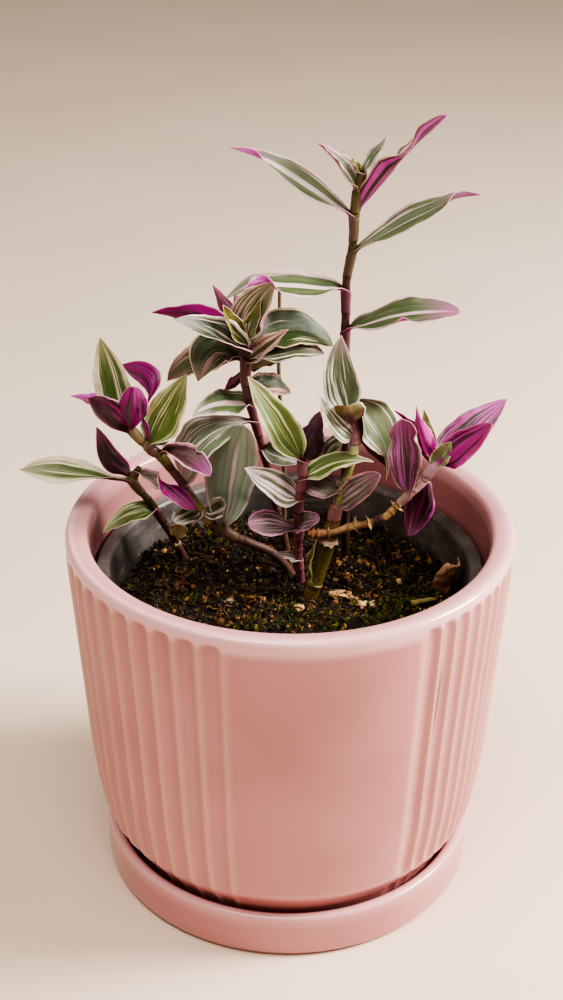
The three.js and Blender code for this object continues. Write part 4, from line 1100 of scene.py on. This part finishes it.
def leaves_piece(plant, stalk, number):
    """All the leaves of a stem in one piece."""
    specs = plant["leaves"]
    sleeve = plant["sleeve"]
    ends = [stalk.length(spec["at"]) for spec in specs]
    color_places, colors = zip(*plant["colors"])
    points, faces, places, paints = [], [], [], []
    total = 0
    for i, spec in enumerate(specs):
        neck = plant.get("sheath") or columns_at(spec["at"] - 0.15, color_places, colors)
        above = sum(1 for k, end in enumerate(ends)
                    if ends[i] < end < ends[i] + sleeve or (end == ends[i] and k > i))
        room = SHEATH_ROOM + SHEATH_STEP * min(above, 3)
        blade_points, blade_faces, blade_places, side_count = blade(
            stalk, spec, number + i, spec.get("sleeve", sleeve), room)
        faces += [tuple(total + k for k in face) for face in blade_faces]
        total += len(blade_points)
        points.append(blade_points)
        places.append(blade_places)
        paints += [paint(look, side_count, neck) for look in spec["look"].split("/")]
    joined = {key: np.concatenate([side[key] for side in paints]) for key in paints[0]}
    mesh_piece(stalk.name.replace("_stem", "_leaves"), np.concatenate(points), faces, LEAF,
               "leaf_and_stem", stalk.node, leaf=np.concatenate(places), **joined)


def tube(line, radii, sides, ripple=None):
    """A closed round tube along a line: points, faces and each point's turn and place."""
    line = np.asarray(line, float)
    tangents = np.gradient(line, axis=0)
    tangents /= np.linalg.norm(tangents, axis=1, keepdims=True)
    across = np.cross(tangents[0], (0.1, 1, 0.3))
    lengths = np.concatenate([[0], np.cumsum(np.linalg.norm(np.diff(line, axis=0), axis=1))])
    points, marks = [], []
    for i, (place, along) in enumerate(zip(line, tangents)):
        across = unit(across - along * (across @ along))
        other = np.cross(along, across)
        for k in range(sides):
            angle = 2 * math.pi * k / sides
            r = radii[i] * (1 + (ripple(i, angle) if ripple else 0))
            points.append(place + r * (math.cos(angle) * across + math.sin(angle) * other))
            marks.append((math.cos(angle), math.sin(angle), lengths[i]))
    faces = ring_faces(len(line), sides)
    faces.append(tuple(range(sides - 1, -1, -1)))
    faces.append(tuple(range(len(points) - sides, len(points))))
    return np.array(points), faces, np.array(marks)


def stem_piece(plant, stalk):
    """A stem with a ring at each of its nodes."""
    lengths = stalk.lengths
    starts = {round(stalk.length(spec["at"]) - spec.get("sleeve", plant["sleeve"]), 1)
              for spec in plant["leaves"] if spec["at"] <= len(plant["points"]) - 2}
    ring_lengths = [stalk.length(t) for t in plant["rings"]] + sorted(starts)
    fine = np.unique(np.round(np.concatenate(
        [lengths] + [at + np.linspace(-1.6, 1.6, 9) for at in ring_lengths]), 3))
    fine = fine[(fine >= 0) & (fine <= lengths[-1])]
    radii = np.interp(fine, lengths, stalk.radii)
    ring = np.zeros(len(fine))
    for at in ring_lengths:
        swelling = (0.2 if stalk.woody else 0.13) * np.exp(-((fine - at) / 0.6) ** 2)
        radii = radii * (1 + swelling)
        ring = np.maximum(ring, np.exp(-((fine - at) / 0.3) ** 2))

    def bark(i, angle):
        if not stalk.woody:
            return 0.02 * math.sin(3 * angle + 0.4 * fine[i])
        spot = Vector((math.cos(angle), math.sin(angle), fine[i] * 0.35))
        return 0.16 * noise.noise(spot * 1.6) + 0.05 * noise.noise(spot * 6)
    points, faces, marks = tube(stalk.middle(fine), radii, STEM_SIDES, bark)
    places, colors = zip(*plant["colors"])
    marked = fine / fine[-1] if len(colors) == 2 else np.interp(fine, lengths, stalk.places)
    skin = columns_at(marked, places, [tone(*color) for color in colors])
    slot = "bare_stem" if stalk.name == "back_stem" else "leaf_and_stem"
    mesh_piece(stalk.name + "_skin", points, faces, STEM, slot, stalk.node, round=marks,
               skin=np.repeat(skin, STEM_SIDES, axis=0), ring=np.repeat(ring, STEM_SIDES))


class Heap:
    """Many small closed bodies gathered into one mesh, each with its tint."""

    def __init__(self):
        self.points, self.faces, self.tints = [], [], []

    def add(self, points, faces, tint):
        start = len(self.points)
        self.points += [tuple(p) for p in points]
        self.faces += [tuple(start + i for i in face) for face in faces]
        self.tints += [tone(*tint)] * len(points)

    def slab(self, middle, up, rows, wide, tint):
        """A sheet of points made thick both ways."""
        self.add([p + up for p in middle] + [p - up for p in middle], slab_faces(rows, wide), tint)

    def piece(self, name, material, slot="potting_soil", node=None):
        mesh_piece(name, self.points, self.faces, material, slot, node, tint=self.tints)


def grid(rows, wide):
    """A sheet's points as their shares along, from 0 to 1, and across, from -1 to 1."""
    return [(i / (rows - 1), -1 + 2 * k / (wide - 1)) for i in range(rows) for k in range(wide)]


def frills(rims, stalk):
    """Torn papery rims of old sheaths that still stand round a stem."""
    rng = np.random.default_rng(41)
    heap = Heap()
    rows, wide = 4, 19
    for place, reach, drop, color in rims:
        centre, along, radius = stalk.spot(stalk.length(place))
        side = unit(np.cross(along, (0.2, 1, 0.1)))
        other = np.cross(along, side)
        sheet = []
        for share, u in grid(rows, wide):
            angle = math.radians(172 * u)
            torn = 0.35 + 1.1 * abs(noise.noise(Vector((3 * angle, place * 9, share))))
            torn += 0.5 * rng.uniform(0, 1) * share
            r = radius + 0.1 + reach * share * torn
            sheet.append(centre + along * drop * share * torn
                         + r * (math.cos(angle) * side + math.sin(angle) * other))
        heap.slab(sheet, along * FRILL_HALF, rows, wide, color)
    heap.piece(stalk.name + "_frills", LITTER, "leaf_and_stem", stalk.node)


number = 1
for plant in PLANTS:
    stalk = Stalk(plant)
    stem_piece(plant, stalk)
    if "frills" in plant:
        frills(plant["frills"], stalk)
    if plant["leaves"]:
        leaves_piece(plant, stalk, number)
    number += len(plant["leaves"])


def soil_height(x, y):
    """The gently lumpy surface, the same as the solid's, without its crumbs."""
    lumps = math.sin(x * 0.21 + 1.3) * math.cos(y * 0.17 - 0.6)
    crumbs = 0.5 * math.sin(x * 0.43 - y * 0.31) + 0.4 * math.cos(x * 0.13 + y * 0.52)
    return SOIL_LEVEL + SOIL_RELIEF * (lumps + crumbs)


def soil_bed():
    """The soil, rough on top."""
    rings, sides = 92, 240
    edge = nursery_radius(SOIL_LEVEL - 2) - 0.25
    bottom = NURSERY_FOOT + NURSERY_WALL + 0.3
    low = nursery_radius(bottom) - 0.3
    turns = [(math.cos(2 * math.pi * k / sides), math.sin(2 * math.pi * k / sides))
             for k in range(sides)]
    points = []
    for i in range(rings + 1):
        r = edge * (1 - i / rings) + 0.05
        for cos, sin in turns:
            x, y = r * cos, r * sin
            spot = Vector((x, y, 0))
            z = soil_height(x, y) + noise.fractal(spot * 0.3, 1.0, 2.1, 4)
            z += 0.5 * noise.noise(spot * 1.1) - 1.2 * float(smoothstep(0.93, 1.0, r / edge))
            points.append((x, y, z))
    faces = ring_faces(rings + 1, sides)
    faces.append(tuple(range(rings * sides, (rings + 1) * sides)))
    start = len(points)
    points += [(low * cos, low * sin, bottom) for cos, sin in turns]
    faces += [(k, start + k, start + (k + 1) % sides, (k + 1) % sides) for k in range(sides)]
    faces.append(tuple(range(start, start + sides)))
    mesh_piece("soil_bed", points, faces, SOIL, "potting_soil", "soil")


STEM_FEET = [plant["points"][0] for plant in PLANTS if not plant["name"].endswith("_branch")]


def soil_spot(rng, reach):
    """A random place on the soil, clear of the stems."""
    while True:
        r = math.sqrt(rng.uniform(0, reach ** 2))
        angle = rng.uniform(0, 2 * math.pi)
        x, y = r * math.cos(angle), r * math.sin(angle)
        if all(math.hypot(x - foot[0], y - foot[1]) > STEM_CLEARANCE for foot in STEM_FEET):
            return x, y


def patch_spots(rng, patches, reach):
    """Random places round the middles of the patches, one after the other."""
    for px, py, radius, count in patches:
        for _ in range(count):
            x, y = px + rng.normal(0, radius / 2), py + rng.normal(0, radius / 2)
            if math.hypot(x, y) <= reach:
                yield x, y


def blob(rng, size, flat, detail=1):
    """A small rough lump: points and faces."""
    work = bmesh.new()
    bmesh.ops.create_icosphere(work, subdivisions=detail, radius=1)
    seed = Vector(rng.uniform(-50, 50, 3))
    points = []
    for v in work.verts:
        swell = 1 + 0.7 * noise.noise(v.co * 1.4 + seed) + 0.35 * noise.noise(v.co * 3.5 + seed)
        points.append(v.co * swell)
    faces = [tuple(v.index for v in f.verts) for f in work.faces]
    work.free()
    stretch = Vector((rng.uniform(0.7, 1.5), rng.uniform(0.7, 1.3), flat))
    turn = Euler(tuple(rng.uniform(-3.1, 3.1, 3))).to_matrix()
    return [turn @ Vector([p[k] * stretch[k] * size for k in range(3)]) for p in points], faces


def shade(rng, color, spread=0.25):
    """The colour, a little lighter or darker."""
    k = rng.uniform(1 - spread, 1 + spread)
    return tuple(min(255, c * k) for c in color)


def crumbs():
    """Grains and clods."""
    rng = np.random.default_rng(7)
    heap = Heap()
    tones = [(30, 22, 16), (54, 40, 27), (88, 63, 42), (122, 88, 58), (60, 57, 46), (162, 122, 80)]
    odds = [0.3, 0.26, 0.18, 0.1, 0.1, 0.06]
    for _ in range(CRUMB_COUNT):
        x, y = soil_spot(rng, SOIL_REACH + 1)
        size = rng.uniform(0.35, 1.0) ** 1.8 * 1.3
        tint = shade(rng, tones[rng.choice(6, p=odds)])
        points, faces = blob(rng, size, rng.uniform(0.5, 1.0))
        base = Vector((x, y, soil_height(x, y) + 0.3 * size))
        heap.add([base + p for p in points], faces, tint)
    heap.piece("soil_crumbs", LITTER)


def strand(start, heading, length, width, bend, rng, sides=3, steps=6):
    """A thin curly fibre."""
    place = Vector(start)
    line = [place.copy()]
    heading = Vector(heading).normalized()
    for _ in range(steps):
        heading += Vector(rng.uniform(-bend, bend, 3))
        heading.normalize()
        place += heading * length / steps
        line.append(place.copy())
    radii = [width * (1 - 0.6 * k / steps) for k in range(steps + 1)]
    return tube([tuple(p) for p in line], radii, sides)[:2]


def fibres(name, seed, count, tones, odds, length, width, bend, rise):
    """A layer of thin curly fibres over all the soil."""
    rng = np.random.default_rng(seed)
    heap = Heap()
    for _ in range(count):
        x, y = soil_spot(rng, SOIL_REACH + 1.2)
        angle = rng.uniform(0, 2 * math.pi)
        heading = (math.cos(angle), math.sin(angle), rng.uniform(-0.1, rise))
        start = (x, y, soil_height(x, y) + rng.uniform(-0.1, 1.1))
        tint = shade(rng, tones[rng.choice(len(tones), p=odds)])
        heap.add(*strand(start, heading, rng.uniform(*length), rng.uniform(*width), bend, rng), tint)
    heap.piece(name, LITTER)


def moss():
    """Upright moss shoots with small pointed leaves."""
    rng = np.random.default_rng(23)
    heap = Heap()
    tones = [(108, 116, 36), (80, 92, 32), (150, 138, 48), (62, 72, 32), (48, 56, 29)]
    for x, y in patch_spots(rng, MOSS_PATCHES, SOIL_REACH + 0.5):
        z = soil_height(x, y) + rng.uniform(0, 0.5)
        tint = shade(rng, tones[rng.integers(5)])
        height = rng.uniform(0.9, 2.4)
        lean = rng.uniform(-0.5, 0.5, 2)
        for k in range(9):
            level = height * k / 9
            angle = k * GOLDEN
            root = (x + lean[0] * level, y + lean[1] * level, z + level)
            heading = (math.cos(angle), math.sin(angle), 0.6 + 0.1 * k)
            heap.add(*strand(root, heading, rng.uniform(0.6, 1.2), 0.17, 0.2, rng, 3, 2), tint)
    heap.piece("soil_moss", MOSS)


def flake(heap, rng, place, size, curl, heading, tint, ragged, slim=1.0):
    """A thin torn flake of bark or dead leaf, curled and lying as headed."""
    rows, wide = 7, 5
    seed = rng.uniform(0, 40)
    sheet = []
    for s, u in grid(rows, wide):
        rough = 1 + ragged * noise.noise(Vector((s * 4 + seed, u * 2, seed)))
        reach = 0.55 * size * slim * rough * max(0.12, math.sin(math.pi * (0.08 + 0.84 * s)) ** 0.6)
        sheet.append(Vector(((s - 0.5) * size * 1.3, u * reach,
                             curl * (u * u * 0.6 - (s - 0.5) ** 2) + 0.2 * rough)))
    turn = Euler(heading).to_matrix()
    heap.slab([turn @ p + Vector(place) for p in sheet], turn @ Vector((0, 0, FLAKE_HALF)),
              rows, wide, tint)


def tumbled(rng):
    """A random way for a flake to lie."""
    return rng.uniform(-1, 1), rng.uniform(-1, 1), rng.uniform(0, 6.2)


def chips():
    """Bark chips, dead leaf bits and the few pieces that stand out."""
    rng = np.random.default_rng(31)
    heap = Heap()
    tones = [(84, 56, 36), (124, 88, 54), (52, 38, 28), (164, 122, 74), (98, 92, 52), (66, 58, 40)]
    for _ in range(CHIP_COUNT):
        x, y = soil_spot(rng, SOIL_REACH)
        place = (x, y, soil_height(x, y) + rng.uniform(0.1, 0.9))
        heading = tumbled(rng)
        size = rng.uniform(0.8, 1) ** 4 * 2.1
        tint = shade(rng, tones[rng.integers(6)])
        flake(heap, rng, place, size, rng.uniform(-1, 1), heading, tint, 1.2)
    bright = [(176, 142, 48), (168, 124, 76), (200, 172, 118), (140, 140, 44), (138, 88, 52)]
    for _ in range(BRIGHT_CHIP_COUNT):
        x, y = soil_spot(rng, SOIL_REACH)
        place = (x, y, soil_height(x, y) + rng.uniform(0.7, 1.4))
        heading = tumbled(rng)
        tint = shade(rng, bright[rng.integers(5)])
        flake(heap, rng, place, rng.uniform(0.3, 0.85), 0.5, heading, tint, 1.2)
    for x, y in patch_spots(rng, BIT_PATCHES, SOIL_REACH):
        heading = tumbled(rng)
        tint = shade(rng, (150, 114, 78) if rng.uniform() < 0.4 else (94, 70, 48), 0.4)
        place = (x, y, soil_height(x, y) + rng.uniform(0.4, 1.4))
        size = 0.35 + 1.1 * rng.uniform() ** 2.5
        flake(heap, rng, place, size, 0.6, heading, tint, 2.0)
    for x, y, size, turn, color in TORN_BITS:
        spread = size * 0.22
        for k in range(6):
            place = (x + rng.uniform(-spread, spread), y + rng.uniform(-spread, spread),
                     soil_height(x, y) + 1.2 + 0.25 * k)
            heading = (rng.uniform(-0.4, 0.4), rng.uniform(-0.4, 0.4), turn + rng.normal(0, 0.9))
            flake(heap, rng, place, size * rng.uniform(0.4, 0.8), rng.uniform(0.2, 1.2), heading,
                  shade(rng, color, 0.18), 1.3, 0.42)
        for _ in range(5):
            points, faces = strand((x, y, soil_height(x, y) + 1.5), rng.uniform(-1, 1, 3),
                                   size * 0.6, 0.16, 0.6, rng)
            heap.add(points, faces, shade(rng, color, 0.15))
    heap.piece("soil_chips", LITTER)


def finds():
    """The dead brown leaf that stands curled at the right edge of the soil, a stick and a
    pale lump."""
    rng = np.random.default_rng(5)
    heap = Heap()
    rows, wide = 15, 11
    sheet = []
    for s, u in grid(rows, wide):
        reach = 7.0 * math.sin(math.pi * (0.12 + 0.8 * s)) ** 0.7
        rough = noise.noise(Vector((s * 5, u * 3, 4.0)))
        reach *= 1 + 0.22 * noise.noise(Vector((s * 9, 2.0 * (1 if u > 0 else -1), 1.0)))
        cup = 3.2 * u * u + 0.9 * rough - 3.5 * (s - 0.4) ** 2
        sheet.append(Vector((u * reach * 0.86, cup, s * 15)))
    foot = Vector((*DEAD_LEAF_FOOT, soil_height(*DEAD_LEAF_FOOT) + 0.2))
    turn = Euler(DEAD_LEAF_TURN).to_matrix()
    heap.slab([turn @ p + foot for p in sheet], turn @ Vector((0, DEAD_LEAF_HALF, 0)), rows, wide,
              (190, 150, 116))
    points, faces, _ = tube(STICK_LINE, STICK_RADII, 9)
    heap.add(points, faces, (150, 140, 86))
    points, faces = blob(rng, 2.0, 0.8, 2)
    heap.add([p + Vector(PALE_LUMP) for p in points], faces, (170, 158, 140))
    heap.piece("soil_finds", LITTER)


soil_bed()
crumbs()
fibres("soil_fibres", 11, 4200,
       [(58, 55, 46), (88, 84, 72), (124, 120, 106), (78, 84, 74), (126, 100, 70)],
       [0.28, 0.28, 0.18, 0.16, 0.1], (1.2, 3.4), (0.09, 0.19), 0.95, 0.9)
fibres("soil_rootlets", 12, 560, [(104, 80, 56), (136, 106, 70), (66, 52, 38), (106, 102, 66)],
       [0.34, 0.16, 0.32, 0.18], (2.4, 5.5), (0.12, 0.26), 0.75, 0.5)
moss()
chips()
finds()


def lamp(name, place, aim, size, power, color):
    """A round area light; places and sizes are in metres."""
    data = bpy.data.lights.new(name, "AREA")
    data.shape = "DISK"
    data.size = size
    data.energy = power
    data.color = tone(*color)[:3]
    made = bpy.data.objects.new(name, data)
    made.location = place
    made.rotation_euler = (Vector(aim) - Vector(place)).to_track_quat("-Z", "Y").to_euler()
    bpy.context.scene.collection.objects.link(made)


def pale_floor():
    cuts = 24
    spots = np.linspace(-FLOOR_HALF, FLOOR_HALF, cuts + 1)
    mesh = bpy.data.meshes.new("floor")
    mesh.from_pydata([(x, y, 0) for y in spots for x in spots], [], sheet_faces(cuts + 1, cuts + 1))
    floor = bpy.data.objects.new("floor", mesh)
    bpy.context.scene.collection.objects.link(floor)
    s = Shader("pale_floor")
    grain = s.steps(s.noise(s.place(), 7.0, 3.0), 0.2, 0.8)
    s.set(Base_Color=s.mix(grain, tone(228, 208, 188), tone(233, 214, 196)),
          Roughness=0.7, Specular_IOR_Level=0.2)
    mesh.materials.append(s.material)


def studio_light():
    world = bpy.data.worlds.new("studio")
    bpy.context.scene.world = world
    world.use_nodes = True
    sky = world.node_tree.nodes["Background"]
    sky.inputs["Color"].default_value = tone(248, 236, 222)
    sky.inputs["Strength"].default_value = 0.25
    lamp("window", (0.95, 0.02, 0.7), (0, 0, 0.12), 0.5, 19, (255, 251, 246))
    lamp("ceiling", (-0.15, -0.4, 1.25), (0, 0, 0.1), 0.8, 8.5, (255, 248, 240))


def photo_camera():
    """The camera, from the photograph's height and angle."""
    camera = bpy.data.cameras.new("camera")
    camera.lens = CAMERA_LENS
    camera.sensor_width = 36
    holder = bpy.data.objects.new("camera", camera)
    pitch, roll = math.radians(CAMERA_PITCH_DEG), math.radians(CAMERA_ROLL_DEG)
    forward = Vector((0, math.cos(pitch), -math.sin(pitch)))
    right = Vector((1, 0, 0))
    up = right.cross(forward)
    right, up = (right * math.cos(roll) + up * math.sin(roll),
                 up * math.cos(roll) - right * math.sin(roll))
    turn = Matrix((right, up, -forward)).transposed().to_4x4()
    holder.matrix_world = Matrix.Translation(Vector(CAMERA_PLACE) * MM) @ turn
    bpy.context.scene.collection.objects.link(holder)
    bpy.context.scene.camera = holder


pale_floor()
studio_light()
photo_camera()
look = bpy.context.scene.view_settings
look.view_transform = "AgX"
look.look = "AgX - High Contrast"
look.exposure = 0.35
bpy.context.view_layer.update()
